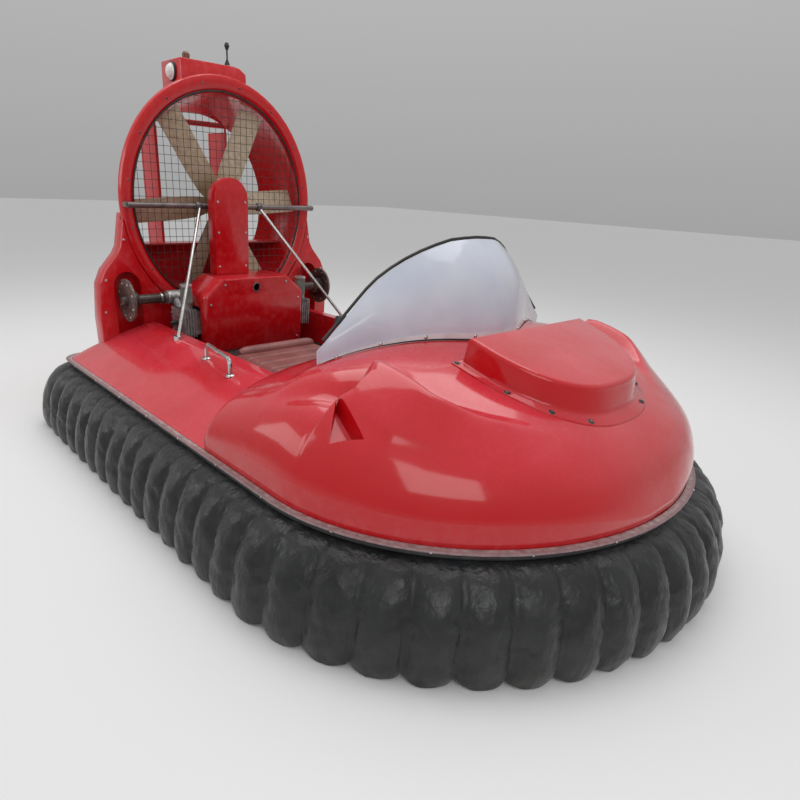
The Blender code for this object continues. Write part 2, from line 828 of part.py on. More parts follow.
def skirts():
    stern_end = PORT_WALK[4]
    skirt_span("skirt_stern", -stern_end + SPAN_SPLIT, stern_end - SPAN_SPLIT, FINGERS_STERN, 1)
    for side, hand in ((1, "left"), (-1, "right")):
        skirt_span("skirt_" + hand, stern_end + SPAN_SPLIT, SIDE_END - SPAN_SPLIT, FINGERS_SIDE, side)
        skirt_span("skirt_bow_" + hand, SIDE_END + SPAN_SPLIT, PLAN_HALF - SPAN_SPLIT, FINGERS_BOW, side)


def skids():
    for y, hand in ((0.42, "left"), (0.0, "centre"), (-0.42, "right")):
        rings = []
        for z, length in ((0.0, 0.0), (0.012, 0.03), (0.0895, 0.06)):
            width = 0.045 if z < 0.05 else 0.060
            low, high = 0.30 - length, 2.02 + length
            rings.append([at(low, y - width, z), at(high, y - width, z), at(high, y + width, z),
                          at(low, y + width, z)])
        loft("skid_" + hand, rings, (BLACK, 0.6))


# Windscreen

def screen_base(y):
    """Point of the windscreen's foot, just over the cowl."""
    station = table(SCREEN_FOOT, y)
    return Vector((station, y, skin_height(station, y) + 0.004))


def screen_top(y):
    """Point of the windscreen's free edge, never lower than a narrow band over its foot."""
    lowest = screen_base(y).z + 0.016
    return Vector((table(SCREEN_EDGE_AT, y), y, max(table(SCREEN_EDGE_Z, y), lowest)))


def screen_point(y, rise):
    """Point of the sheet on its port half: rise 0 is its foot, 1 its free edge."""
    bow = SCREEN_BOW * math.sin(math.pi * rise) * (1 - (y / SCREEN_HALF) ** 2)
    point = screen_base(y).lerp(screen_top(y), rise)
    return at(point.x + bow, point.y, point.z + bow)


def windscreen():
    shape = bmesh.new()
    columns, rows = 14, 5
    grid = []
    for i in range(columns + 1):
        y = SCREEN_HALF * math.sin(math.pi / 2 * i / columns)
        grid.append([shape.verts.new(screen_point(y, k / rows)) for k in range(rows + 1)])
    for one, two in zip(grid, grid[1:]):
        for k in range(rows):
            shape.faces.new((one[k], one[k + 1], two[k + 1], two[k]))
    item = from_bmesh("windscreen", shape, ((0.78, 0.82, 0.92), 0.2, 0.0, 0.6), smooth=60)
    mirrored(item)
    thick = item.modifiers.new("sheet", "SOLIDIFY")
    thick.thickness = 0.004
    thick.offset = 0.0
    return item


def windscreen_trim():
    """Rubber strip round the free edge, from near one foot to near the other."""
    port = []
    for i in range(17):
        y = SCREEN_HALF * TRIM_SHARE * math.sin(math.pi / 2 * i / 16)
        low, high = screen_point(y, 0.97), screen_point(y, 1.0)
        port.append(high + (high - low).normalized() * TRIM_OFFSET)
    starboard = [Vector((p.x, -p.y, p.z)) for p in reversed(port[1:])]
    return tube("windscreen_trim", starboard + port, 0.005, (BLACK, 0.5), resolution=1)


# Cockpit fittings

def bench():
    """A low moulded bench across the well, with a rounded cushion that has a roll along its back."""
    box("seat_base", at(SEAT_AFT, -SEAT_HALF, FLOOR_Z + FIT), at(SEAT_FORE, SEAT_HALF, SEAT_Z),
        (RED, 0.3), 0.012)
    low = at(SEAT_AFT - SEAT_LIP, -SEAT_HALF - SEAT_LIP, SEAT_Z + FIT)
    high = at(SEAT_FORE + SEAT_LIP, SEAT_HALF + SEAT_LIP, CUSHION_Z)
    cushion = box("seat_cushion", low, high, ((0.26, 0.11, 0.10), 0.6), 0.03, 3)
    ends = [Vector((low.x + ROLL_R, side * (SEAT_HALF - SEAT_LIP), CUSHION_Z - 0.001)) for side in (-1, 1)]
    roll = cylinder("cushion_roll", *ends, ROLL_R, None, sides=20)
    boolean(cushion, as_cutter(bevelled(roll, 0.012)), "UNION")


def column_axis():
    foot = at(COLUMN_FOOT[0], 0.0, COLUMN_FOOT[1])
    head = at(COLUMN_HEAD[0], 0.0, COLUMN_HEAD[1])
    return foot, head, (head - foot).normalized()


def steering_column():
    foot, head, along = column_axis()
    column = cylinder("steering_column", foot, head, 0.019, (BLACK, 0.4), sides=20)
    plate = box("column_plate", at(COLUMN_FOOT[0] - 0.06, -0.05, FLOOR_Z + FIT),
                at(COLUMN_FOOT[0] + 0.05, 0.05, FLOOR_Z + 0.012), None)
    boolean(column, as_cutter(plate), "UNION")
    under = box("under_floor", at(COLUMN_FOOT[0] - 0.2, -0.2, 0.0),
                at(COLUMN_FOOT[0] + 0.2, 0.2, FLOOR_Z + FIT), None)
    boolean(column, as_cutter(under), "DIFFERENCE")
    return column


def handlebar():
    """Stem, bent bar and grips, turning on the head of the column."""
    foot, head, along = column_axis()
    start = head + along * 0.001
    crest = head + along * BAR_RISE
    back = Vector((-1.0, 0.0, 0.35)).normalized()
    ends = []
    for side in (-1, 1):
        ends.append([crest + Vector((0, side * 0.10, 0)),
                     crest + Vector((0, side * 0.17, 0)) + back * 0.02 + along * 0.03,
                     crest + Vector((0, side * GRIP_HALF, 0)) + back * 0.06 + along * 0.03])
    points = rounded_path(ends[0][::-1] + ends[1], 0.05)
    bar = tube("handlebar", points, 0.011, (STEEL, 0.3, 1.0), resolution=2)
    stem = cylinder("stem", start, crest + along * 0.012, 0.021, None, sides=20)
    boolean(bar, as_cutter(stem), "UNION")
    for side in (-1, 1):
        outer = ends[0 if side < 0 else 1][2]
        inner = ends[0 if side < 0 else 1][1]
        aim = (outer - inner).normalized()
        grip = cylinder("grip", outer - aim * 0.115, outer + aim * 0.004, 0.017, None, sides=16)
        boolean(bar, as_cutter(grip), "UNION")
    return bar


def grab_handles():
    """A low rail on each side deck, its front foot farther out than its back foot."""
    for side, hand in ((1, "left"), (-1, "right")):
        points = []
        for station, y in (GRAB_BACK, GRAB_FRONT):
            deck = deck_height(station, y)
            pair = [at(station, side * y, deck - 0.02), at(station, side * y, deck + GRAB_RISE)]
            points += pair if not points else pair[::-1]
        handle = tube("grab_handle_" + hand, rounded_path(points, 0.035), 0.009,
                      (STEEL, 0.25, 1.0), 2)
        boolean(handle, deck_cutter(), "DIFFERENCE")


# Engine bay

def sided_box(name, low, high, side, look=None):
    """A box given for the port side, or its twin on the starboard side."""
    near, far = sorted((side * low[1], side * high[1]))
    return box(name, at(low[0], near, low[2]), at(high[0], far, high[2]), look)


def engine():
    """Block with a finned cylinder at each side, and on each an exhaust port and an air filter."""
    block = box("engine_block", at(*BLOCK_LOW), at(*BLOCK_HIGH), ((0.2, 0.2, 0.21), 0.5, 0.7), 0.012)
    for side in (-1, 1):
        boolean(block, as_cutter(sided_box("barrel", BARREL_LOW, BARREL_HIGH, side)), "UNION")
        for k in range(FINS):
            start = FIN_FIRST + FIN_PITCH * k
            low = (BARREL_LOW[0] - FIN_PROUD, start, BARREL_LOW[2] - FIN_PROUD)
            high = (BARREL_HIGH[0] + FIN_PROUD, start + FIN_THICK, BARREL_HIGH[2] + FIN_PROUD)
            boolean(block, as_cutter(sided_box("fin", low, high, side)), "UNION")
        root = at(0.240, side * PORT_Y, BARREL_HIGH[2] - 0.015)
        neck = cylinder("port_neck", root, at(EXHAUST_AT, side * PORT_Y, EXHAUST_Z), 0.024, None, 20)
        boolean(block, as_cutter(neck), "UNION")
        elbow = cylinder("port_elbow", at(EXHAUST_AT, side * ELBOW_START, EXHAUST_Z),
                         at(EXHAUST_AT, side * ELBOW_END, EXHAUST_Z), 0.034, None, 24)
        boolean(block, as_cutter(bevelled(elbow, 0.010)), "UNION")
        drum = cylinder("air_filter", at(FILTER_AT, side * PORT_Y, BARREL_HIGH[2] - 0.015),
                        at(FILTER_AT, side * PORT_Y, FILTER_TOP), 0.028, None, 24)
        boolean(block, as_cutter(drum), "UNION")
    return block


def engine_cover():
    cover = prism("engine_cover", COVER_FACE, 0.160, 0.400, (RED, 0.25), bevel=0.02)
    inner = [(y * 0.97, 0.300 if z < 0.4 else z - 0.010) for y, z in COVER_FACE]
    boolean(cover, as_cutter(prism("cover_hollow", inner, 0.168, 0.392, None)), "DIFFERENCE")
    for side in (-1, 1):
        low, high = sorted((side * 0.280, side * 0.330))
        gate = box("head_gate", at(0.208, low, 0.300), at(0.347, high, 0.582), None)
        boolean(cover, as_cutter(gate), "DIFFERENCE")
    hole = cylinder("filler_hole", at(0.380, 0.0, 0.672), at(0.420, 0.0, 0.672), 0.019, None, 20)
    boolean(cover, as_cutter(hole), "DIFFERENCE")
    return cover


def exhausts():
    """On each side a level pipe from the exhaust port out to a can behind a broad round flange."""
    can = [(0.024, 0.0), (0.024, 0.018), (0.006, 0.022), (0.006, FLANGE_R), (-0.006, FLANGE_R),
           (-0.006, 0.046), (0.006 - CAN_REACH, 0.042), (-CAN_REACH, 0.034), (-CAN_REACH, 0.0)]
    for side, tail, outward in ((-1, "", "-Y"), (1, "_left", "Y")):
        start = at(EXHAUST_AT, side * (ELBOW_END + FIT), EXHAUST_Z)
        end = at(EXHAUST_AT, side * (FLANGE_Y - CAN_REACH - FIT), EXHAUST_Z)
        pipe = cylinder("exhaust_pipe" + tail, start, end, 0.023, (BLACK, 0.5, 0.6), 24)
        collar = cylinder("pipe_collar", start, start + Vector((0, side * 0.014, 0)), 0.030, None, 24)
        boolean(pipe, as_cutter(collar), "UNION")
        turned("muffler" + tail, can, at(EXHAUST_AT, side * FLANGE_Y, EXHAUST_Z), (BLACK, 0.45, 0.6), 32,
               outward)


def belt_guard():
    """Tall rounded cover of the drive belt, set a little to starboard of the fan's shaft."""
    outline = shifted(arch(GUARD_HALF, COVER_TOP + 0.0006, GUARD_SPRING), 1, GUARD_SIDE)
    guard = prism("belt_guard", outline, 0.190, 0.262, (RED, 0.25), bevel=0.008)
    bore = cylinder("shaft_bore", at(0.170, 0, AXIS_Z), at(0.235, 0, AXIS_Z), 0.024, None, 24)
    boolean(guard, as_cutter(bore), "DIFFERENCE")
    return guard


# Duct and what stands round it

# Section of the duct: down its outer side from the lip to the outlet, and back up inside
DUCT_OUTER = [(LIP_FRONT, LIP_R - 0.022), (LIP_FRONT - 0.005, LIP_R - 0.006), (LIP_FRONT - 0.017, LIP_R),
              (LIP_FRONT - 0.036, LIP_R - 0.002), (LIP_FRONT - 0.044, LIP_R - 0.012),
              (LIP_FRONT - 0.047, DUCT_R), (0.0, DUCT_R - 0.015), (DUCT_AFT, OUTLET_R + OUTLET_WALL)]
DUCT_INNER = [(DUCT_AFT, OUTLET_R), (0.0, THROAT_R), (0.079, THROAT_R), (LIP_FRONT - 0.016, THROAT_R + 0.011),
              (LIP_FRONT - 0.006, THROAT_R + 0.026)]


def duct():
    return turned("duct", DUCT_OUTER + DUCT_INNER, at(0, 0, AXIS_Z), (RED, 0.2), steps=64)


def duct_cutter():
    """The duct's outer form and all inside it, grown by the fit."""
    if "duct_space" in bpy.data.objects:
        return bpy.data.objects["duct_space"]
    neck = LIP_FRONT - 0.048
    ahead, behind = LIP_FRONT + 0.05, DUCT_AFT - 0.2
    profile = [(ahead, 0.0), (ahead, LIP_R + FIT), (neck, LIP_R + FIT), (neck, DUCT_R + FIT),
               (0.0, DUCT_R - 0.015 + FIT), (DUCT_AFT, OUTLET_R + OUTLET_WALL + FIT),
               (behind, OUTLET_R + OUTLET_WALL + FIT), (behind, 0.0)]
    return as_cutter(turned("duct_space", profile, at(0, 0, AXIS_Z), None, steps=64))


def air_splitter():
    """Level plate across the duct behind the blades, its aft edge bent down to close the outlet's foot."""
    bend = (SPLITTER_AFT + SPLITTER_BEND, SPLITTER_Z - SPLITTER_BEND)
    upper = [(SPLITTER_FORE, SPLITTER_Z)]
    under = [(SPLITTER_FORE, SPLITTER_Z - SPLITTER_THICK)]
    for i in range(7):
        angle = math.pi / 2 * (1 + i / 6)
        for line, radius in ((upper, SPLITTER_BEND), (under, SPLITTER_BEND - SPLITTER_THICK)):
            line.append((bend[0] + radius * math.cos(angle), bend[1] + radius * math.sin(angle)))
    upper.append((SPLITTER_AFT, SPLITTER_FOOT))
    under.append((SPLITTER_AFT + SPLITTER_THICK, SPLITTER_FOOT))
    upright = Matrix(((1, 0, 0, at(0.0).x), (0, 0, -1, 0), (0, 1, 0, 0), (0, 0, 0, 1)))
    plate = flat_piece("air_splitter", upper + under[::-1], upright, 2 * THROAT_R, (RED, 0.3))
    space = [(0.0, 0.0), (0.0, THROAT_R - FIT), (DUCT_AFT, OUTLET_R - FIT), (DUCT_AFT, 0.0)]
    inside = turned("duct_inside", space, at(0, 0, AXIS_Z), None, steps=64)
    boolean(plate, as_cutter(inside), "INTERSECT")
    return plate


def pedestal(side):
    """Stepped side support of the duct, with a round-topped pocket in its front face."""
    outline = [(PEDESTAL_INNER, RAIL_Z), (0.730, RAIL_Z), (0.730, 0.520), (0.712, 0.680), (0.678, 0.745),
               (0.610, 0.815), (0.588, 0.850), (0.557, 0.996), (PEDESTAL_INNER, 0.996)]
    name = "pedestal_" + ("left" if side > 0 else "right")
    body = prism(name, shifted(outline, side, 0.0), PEDESTAL_AFT, PEDESTAL_FORE, (RED, 0.2), bevel=0.006)
    boolean(body, duct_cutter(), "DIFFERENCE")
    boolean(body, deck_cutter(), "DIFFERENCE")
    mouth = shifted(arch(POCKET_HALF, 0.300, POCKET_SPRING, 12), side, POCKET_Y)
    pocket = prism(name + "_pocket", mouth, POCKET_AFT, PEDESTAL_FORE + 0.1, None)
    boolean(body, as_cutter(pocket), "DIFFERENCE")
    return body


def deck_cutter():
    """All below the surface of the side decks, grown by the fit."""
    if "deck_space" in bpy.data.objects:
        return bpy.data.objects["deck_space"]
    first = DECK_INSET + 0.0002
    rings = []
    for station in (-0.3, first, 0.02, 0.05, 0.10, STERN_SLOPE, 1.35):
        near = max(station, first)
        port = deck_places(near) + [HALF_BEAM * 1.2]
        half = [(y, deck_height(near, y) + FIT) for y in port]
        rim = [(-y, z) for y, z in reversed(half)] + half[1:]
        rings.append([at(station, y, z) for y, z in rim] + [at(station, y, 0.1) for y, z in reversed(rim)])
    return as_cutter(loft("deck_space", rings, None))


def cross_bar():
    """Tube across the duct's mouth with the fan shaft's bearing in its middle."""
    bar = cylinder("cross_bar", at(BAR_AT, -LIP_R + 0.012, AXIS_Z), at(BAR_AT, LIP_R - 0.012, AXIS_Z),
                   0.013, (STEEL, 0.25, 1.0), sides=20)
    for side in (-1, 1):
        pad = cylinder("bar_pad", at(LIP_FRONT + FIT, side * (LIP_R - 0.018), AXIS_Z),
                       at(BAR_AT, side * (LIP_R - 0.018), AXIS_Z), 0.014, None, 20)
        boolean(bar, as_cutter(pad), "UNION")
    housing = cylinder("bearing_housing", at(BAR_AT - 0.030, 0, AXIS_Z),
                       at(BAR_AT + 0.030, 0, AXIS_Z), 0.042, None, 32)
    boolean(bar, as_cutter(housing), "UNION")
    bore = cylinder("bearing_bore", at(BAR_AT - 0.05, 0, AXIS_Z), at(BAR_AT + 0.05, 0, AXIS_Z),
                    SHAFT_R + 0.0006, None, 32)
    boolean(bar, as_cutter(bore), "DIFFERENCE")
    return bar


def stays():
    """Two slim rods from the side decks up to the cross bar."""
    for side, hand in ((1, "left"), (-1, "right")):
        foot = at(STAY_FOOT[0], side * STAY_FOOT[1], deck_height(*STAY_FOOT) + 0.001)
        head = at(BAR_AT + 0.0165, side * 0.185, AXIS_Z - 0.012)
        stay = cylinder("stay_" + hand, foot + (foot - head).normalized() * 0.03, head, 0.008,
                        (STEEL, 0.25, 1.0), sides=16)
        shoe = cylinder("stay_shoe", foot - Vector((0, 0, 0.02)), foot + Vector((0, 0, 0.010)), 0.022,
                        None, 20)
        boolean(stay, as_cutter(shoe), "UNION")
        boolean(stay, deck_cutter(), "DIFFERENCE")


def guard_wires(name, upright_run, place):
    """Parallel wires that reach into the guard's ring, as one set of separate bars."""
    shape = bmesh.new()
    for k in range(-3, 4):
        offset = k * GUARD_PITCH
        reach = math.sqrt((GUARD_R - 0.006) ** 2 - offset ** 2)
        size = Vector((GUARD_WIRE, GUARD_WIRE, 2 * reach))
        middle = at(place, offset, AXIS_Z)
        if not upright_run:
            size = Vector((GUARD_WIRE, 2 * reach, GUARD_WIRE))
            middle = at(place, 0.0, AXIS_Z + offset)
        wire = bmesh.ops.create_cube(shape, size=1.0)["verts"]
        bmesh.ops.scale(shape, vec=size, verts=wire)
        bmesh.ops.translate(shape, vec=middle, verts=wire)
    return as_cutter(from_bmesh(name, shape, None))


def fan_guard():
    """Ring and wires across the duct's mouth, in front of the blades."""
    inner = GUARD_R - 0.012
    ring = turned("fan_guard", [(0.005, inner), (0.005, GUARD_R), (-0.005, GUARD_R - 0.004),
                                (-0.005, inner)], at(GUARD_AT, 0, AXIS_Z), (BLACK, 0.5, 0.5), steps=64)
    eye = turned("guard_eye", [(0.0045, 0.030), (0.0045, 0.050), (-0.0045, 0.050), (-0.0045, 0.030)],
                 at(GUARD_AT, 0, AXIS_Z), None, steps=24)
    gap = cylinder("guard_gap", at(GUARD_AT - 0.02, 0, AXIS_Z), at(GUARD_AT + 0.02, 0, AXIS_Z),
                   0.0302, None, 24)
    boolean(ring, guard_wires("guard_uprights", True, GUARD_AT + 0.001), "UNION")
    boolean(ring, guard_wires("guard_levels", False, GUARD_AT - 0.001), "UNION")
    boolean(ring, as_cutter(eye), "UNION")
    boolean(ring, as_cutter(gap), "DIFFERENCE")
    return ring


def blade_ring(radius, chord, pitch, thick):
    """Lens section of a blade that stands along +Z, turned by its pitch."""
    ring = []
    for along, across in ((-0.5, 0.0), (-0.25, 0.45), (0.2, 0.5), (0.5, 0.0), (0.2, -0.35),
                          (-0.25, -0.3)):
        u, v = along * chord, across * thick
        ring.append(Vector((u * math.sin(pitch) + v * math.cos(pitch),
                            u * math.cos(pitch) - v * math.sin(pitch), radius)))
    return ring


def fan():
    """Hub with six broad plank blades and the shaft that runs forward into the belt guard."""
    shaft_end = SHAFT_END - FAN_AT
    hub = turned("fan", [(shaft_end, 0.0), (shaft_end, SHAFT_R), (0.036, SHAFT_R), (0.036, 0.050),
                         (0.030, 0.062), (-0.035, 0.058), (-0.050, 0.035), (-0.050, 0.0)],
                 at(FAN_AT, 0, AXIS_Z), ((0.55, 0.43, 0.27), 0.5), steps=32)
    for k in range(BLADES):
        angle = math.radians(FIRST_BLADE + 360 / BLADES * k)
        turn = Matrix.Translation(at(FAN_AT, 0, AXIS_Z)) @ Matrix.Rotation(angle, 4, "X")
        rings = []
        for radius, chord, pitch, thick in BLADE_STATIONS:
            rings.append([turn @ p for p in blade_ring(radius, chord, math.radians(pitch), thick)])
        boolean(hub, as_cutter(loft(f"blade_{k}", rings, None)), "UNION")
    return hub


def tail_box():
    """Flat-topped housing on the duct, its port end rounded down."""
    outline = [(TAIL_STARBOARD, 1.440), (TAIL_PORT + 0.012, 1.440), (TAIL_PORT, 1.624),
               (TAIL_PORT - 0.035, 1.644), (TAIL_PORT - 0.068, TAIL_TOP), (TAIL_STARBOARD, TAIL_TOP)]
    tail = prism("tail_box", outline, TAIL_AFT, TAIL_FORE, (RED, 0.25), bevel=0.006)
    boolean(tail, duct_cutter(), "DIFFERENCE")
    return tail


def rudder_bars():
    """Two cross pieces on the duct's outlet, with a hole for each rudder's spindle."""
    for z, name in ((RUDDER_HIGH + 0.017, "rudder_bar_top"), (RUDDER_LOW - 0.042, "rudder_bar_bottom")):
        bar = box(name, at(DUCT_AFT - 0.0405, -0.275, z), at(DUCT_AFT - FIT, 0.275, z + 0.025),
                  (RED, 0.3), 0.003, 1)
        for k in (-1, 1):
            pin = cylinder("pin_hole", at(RUDDER_AXIS, k * RUDDER_SPREAD, z - 0.01),
                           at(RUDDER_AXIS, k * RUDDER_SPREAD, z + 0.035), 0.0066, None, 16)
            boolean(bar, as_cutter(pin), "DIFFERENCE")


def rudders():
    """Two upright vanes behind the duct, each on its own spindle."""
    half_section = ((RUDDER_NOSE, 0.0), (0.006, 0.0075), (-0.02, 0.010), (-0.08, 0.008),
                    (RUDDER_NOSE - RUDDER_CHORD, 0.0025))
    section = list(half_section) + [(x, -h) for x, h in reversed(half_section) if h > 0]
    for k, hand in ((1, "left"), (-1, "right")):
        y = k * RUDDER_SPREAD
        axis = at(RUDDER_AXIS, y, (RUDDER_LOW + RUDDER_HIGH) / 2)
        vane = slab("rudder_" + hand, section, -(RUDDER_HIGH - RUDDER_LOW) / 2,
                    (RUDDER_HIGH - RUDDER_LOW) / 2, (RED, 0.25))
        vane.location = axis
        spindle = cylinder("spindle_" + hand, at(RUDDER_AXIS, y, RUDDER_LOW - 0.047),
                           at(RUDDER_AXIS, y, RUDDER_HIGH + 0.047), 0.006, None, 16)
        boolean(vane, as_cutter(spindle), "UNION")


def top_fittings():
    """Side lamp, turning knob and short aerial post on the tail box."""
    dome = [(0.035, 0.0), (0.033, 0.012), (0.026, 0.024), (0.014, 0.030), (0.012, 0.034), (0.0, 0.034),
            (0.0, 0.0)]
    turned("lamp", dome, at(-0.030, TAIL_STARBOARD - FIT, 1.600), ((0.85, 0.85, 0.85), 0.15), 24, "-Y")
    cap = [(0.032, 0.0), (0.030, 0.012), (0.022, 0.018), (0.0, 0.018), (0.0, 0.0)]
    turned("knob", cap, at(0.0, -0.127, TAIL_TOP + FIT), ((0.35, 0.2, 0.1), 0.5), 16, "Z")
    post = [(0.098, 0.0), (0.096, 0.008), (0.084, 0.013), (0.072, 0.008), (0.066, 0.004), (0.030, 0.004),
            (0.014, 0.012), (0.0, 0.016), (0.0, 0.0)]
    turned("aerial_post", post, at(0.0, 0.100, TAIL_TOP + FIT), (BLACK, 0.5), 16, "Z")


def build():
    hull_bottom()
    main_deck()
    fore_cowl()
    nose_hatch()
    gunwale_rail()
    skirts()
    skids()
    windscreen()
    windscreen_trim()
    bench()
    steering_column()
    handlebar()
    grab_handles()
    engine()
    engine_cover()
    exhausts()
    belt_guard()
    duct()
    for side in (1, -1):
        pedestal(side)
    air_splitter()
    cross_bar()
    stays()
    fan_guard()
    fan()
    tail_box()
    rudder_bars()
    rudders()
    top_fittings()


build()
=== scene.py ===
# %% [markdown]
# # A small red hovercraft, dressed for its picture
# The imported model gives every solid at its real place. This lesson adds the looks around it:
# the fabric skirt, the smooth moulded skin, the wire guard, and a finish for every surface.

# %% The frame
import math

import bmesh
import bpy
from mathutils import Matrix, Vector, noise


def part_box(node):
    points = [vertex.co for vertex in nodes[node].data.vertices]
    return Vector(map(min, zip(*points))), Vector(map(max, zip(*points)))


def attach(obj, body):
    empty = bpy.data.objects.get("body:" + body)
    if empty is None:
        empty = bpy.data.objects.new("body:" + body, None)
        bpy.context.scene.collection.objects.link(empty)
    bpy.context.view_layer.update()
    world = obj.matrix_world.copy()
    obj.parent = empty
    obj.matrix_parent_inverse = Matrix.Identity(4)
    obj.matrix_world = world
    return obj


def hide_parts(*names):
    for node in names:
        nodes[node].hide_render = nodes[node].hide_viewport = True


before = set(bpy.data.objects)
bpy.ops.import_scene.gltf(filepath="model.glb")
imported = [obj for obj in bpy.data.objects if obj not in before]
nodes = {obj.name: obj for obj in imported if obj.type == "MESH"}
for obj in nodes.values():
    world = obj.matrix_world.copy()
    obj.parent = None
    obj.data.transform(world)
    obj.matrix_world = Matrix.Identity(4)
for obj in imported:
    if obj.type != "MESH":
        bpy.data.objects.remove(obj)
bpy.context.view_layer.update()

# %% [markdown]
# ## Camera
# A picture taken from a few metres away has its own lens, height and slight roll. The camera here
# was worked out from the gunwale line and the duct's lip, so shapes fall where they do in the photo.

# %% Camera at the photo's angle
PICTURE = 800
FOCAL_PIXELS = 567.5
PRINCIPAL = (316.087, 495.066)
CAMERA_STATION = (3.013, -1.754, 1.155)
YAW, PITCH, ROLL = (math.radians(a) for a in (40.539, 28.632, 2.875))
SENSOR = 36.0

# The hull's stern edge is one rail's breadth ahead of the rail's aft end
rail_low, rail_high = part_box("gunwale_rail")
RAIL_PROUD = 0.022
STERN = rail_low.x + RAIL_PROUD


def at(station, y=0.0, z=0.0):
    """World point from a distance ahead of the hull's stern edge."""
    return Vector((STERN + station, y, z))


forward = Vector((-math.cos(YAW) * math.cos(PITCH), math.sin(YAW) * math.cos(PITCH), -math.sin(PITCH)))
level = forward.cross(Vector((0, 0, 1))).normalized()
upward = level.cross(forward)
right = level * math.cos(ROLL) + upward * math.sin(ROLL)
top = upward * math.cos(ROLL) - level * math.sin(ROLL)
pose = Matrix((right, top, -forward)).transposed().to_4x4()
pose.translation = at(*CAMERA_STATION)

lens = bpy.data.cameras.new("camera")
lens.sensor_width = SENSOR
lens.lens = FOCAL_PIXELS / PICTURE * SENSOR
lens.shift_x = (PICTURE / 2 - PRINCIPAL[0]) / PICTURE
lens.shift_y = (PRINCIPAL[1] - PICTURE / 2) / PICTURE
camera = bpy.data.objects.new("camera", lens)
camera.matrix_world = pose
bpy.context.scene.collection.objects.link(camera)
bpy.context.scene.camera = camera
print("camera", [round(v, 3) for v in camera.location], "lens", round(lens.lens, 2))

# %% [markdown]
# ## Studio
# Gelcoat lives from what it mirrors. One broad soft light overhead gives the pale sheen on all that
# faces up, while the low flanks mirror the darker lower half of the surroundings and stay deep red.

# %% Picture settings, and two helpers for node materials
scene = bpy.context.scene
scene.view_settings.view_transform = "Standard"
scene.view_settings.look = "None"


def new_look(name):
    """A node material: its tree and its main shader."""
    look = bpy.data.materials.new(name)
    look.use_nodes = True
    return look, look.node_tree, look.node_tree.nodes["Principled BSDF"]


def node(tree, kind, settings=(), **inputs):
    """A node with its settings and its inputs, given as values or as outputs to link.
    A name such as i0 stands for the input with that number."""
    made = tree.nodes.new(kind)
    for name, value in dict(settings).items():
        setattr(made, name, value)
    for name, value in inputs.items():
        plug = made.inputs[int(name[1:])] if name[0] == "i" and name[1:].isdigit() else made.inputs[name]
        if isinstance(value, bpy.types.NodeSocket):
            tree.links.new(value, plug)
        else:
            plug.default_value = value
    return made


print("colours shown as", scene.view_settings.view_transform)

# %% [markdown]
# The floor is one broad pale sheet, matt so that it mirrors nothing. It is no part of the craft.

# %% Floor
FLOOR_SIZE = 60.0
FLOOR_GREY = 0.86
floor_mesh = bpy.data.meshes.new("studio_floor")
half = FLOOR_SIZE / 2
floor_mesh.from_pydata([(-half, -half, 0), (half, -half, 0), (half, half, 0), (-half, half, 0)], [],
                       [(0, 1, 2, 3)])
studio_floor = bpy.data.objects.new("studio_floor", floor_mesh)
scene.collection.objects.link(studio_floor)
floor_look, floor_tree, floor_shader = new_look("pale_floor")
floor_shader.inputs["Base Color"].default_value = (FLOOR_GREY, FLOOR_GREY, FLOOR_GREY, 1)
floor_shader.inputs["Roughness"].default_value = 0.8
floor_mesh.materials.append(floor_look)
print("floor", FLOOR_SIZE, "m across")

# %% [markdown]
# The surroundings brighten from the horizon upward. A surface that turns down mirrors the darker part,
# which keeps the low flanks of the hull deep in colour.

# %% Surroundings
SKY_STRENGTH = 0.55
HORIZON_GREY = 0.62
world = bpy.data.worlds.new("studio_world")
scene.world = world
world.use_nodes = True
sky = world.node_tree
place = sky.nodes.new("ShaderNodeTexCoord")
split = node(sky, "ShaderNodeSeparateXYZ", Vector=place.outputs["Generated"])
shade = node(sky, "ShaderNodeMapRange", i0=split.outputs["Z"], i1=-0.10, i2=0.45,
             i3=HORIZON_GREY, i4=1.0)
sky.links.new(shade.outputs["Result"], sky.nodes["Background"].inputs["Color"])
sky.nodes["Background"].inputs["Strength"].default_value = SKY_STRENGTH
print("surroundings from", HORIZON_GREY, "at the horizon to 1.0 overhead, strength", SKY_STRENGTH)

# %% [markdown]
# A large lamp overhead and two smaller ones in front and beside give soft edges to every shadow. Each
# is a rectangle turned toward the craft.

# %% Lights
def soft_light(name, spot, aim, size, watts):
    """A rectangular lamp at a spot, turned toward an aim."""
    lamp = bpy.data.lights.new(name, "AREA")
    lamp.shape = "RECTANGLE"
    lamp.size, lamp.size_y = size
    lamp.energy = watts
    item = bpy.data.objects.new(name, lamp)
    item.location = spot
    item.rotation_euler = (Vector(aim) - Vector(spot)).to_track_quat("-Z", "Y").to_euler()
    scene.collection.objects.link(item)
    return item


# Place, aim, breadth and depth, and power of each lamp
LAMPS = {
    "overhead": ((-0.6, 0.8, 4.4), (0, 0, 0.4), (4.6, 3.6), 95),
    "front_fill": ((3.6, -2.4, 3.0), (0.3, 0, 0.5), (2.4, 1.8), 30),
    "side_fill": ((-2.6, -3.6, 2.4), (-0.6, 0, 0.7), (2.4, 1.6), 22),
}
for name, settings in LAMPS.items():
    soft_light(name, *settings)
print("lights", len(bpy.data.lights))

# %% [markdown]
# ## Finishes
# Every finish is worked out from noise in real metres, so its grain has the right scale on every
# piece. Each one varies its colour, its gloss and its fine relief, as worn real surfaces do.

# %% Noise, ranges and mixing
def metres(tree):
    """Places in metres, fixed to the piece."""
    return tree.nodes.new("ShaderNodeTexCoord").outputs["Object"]


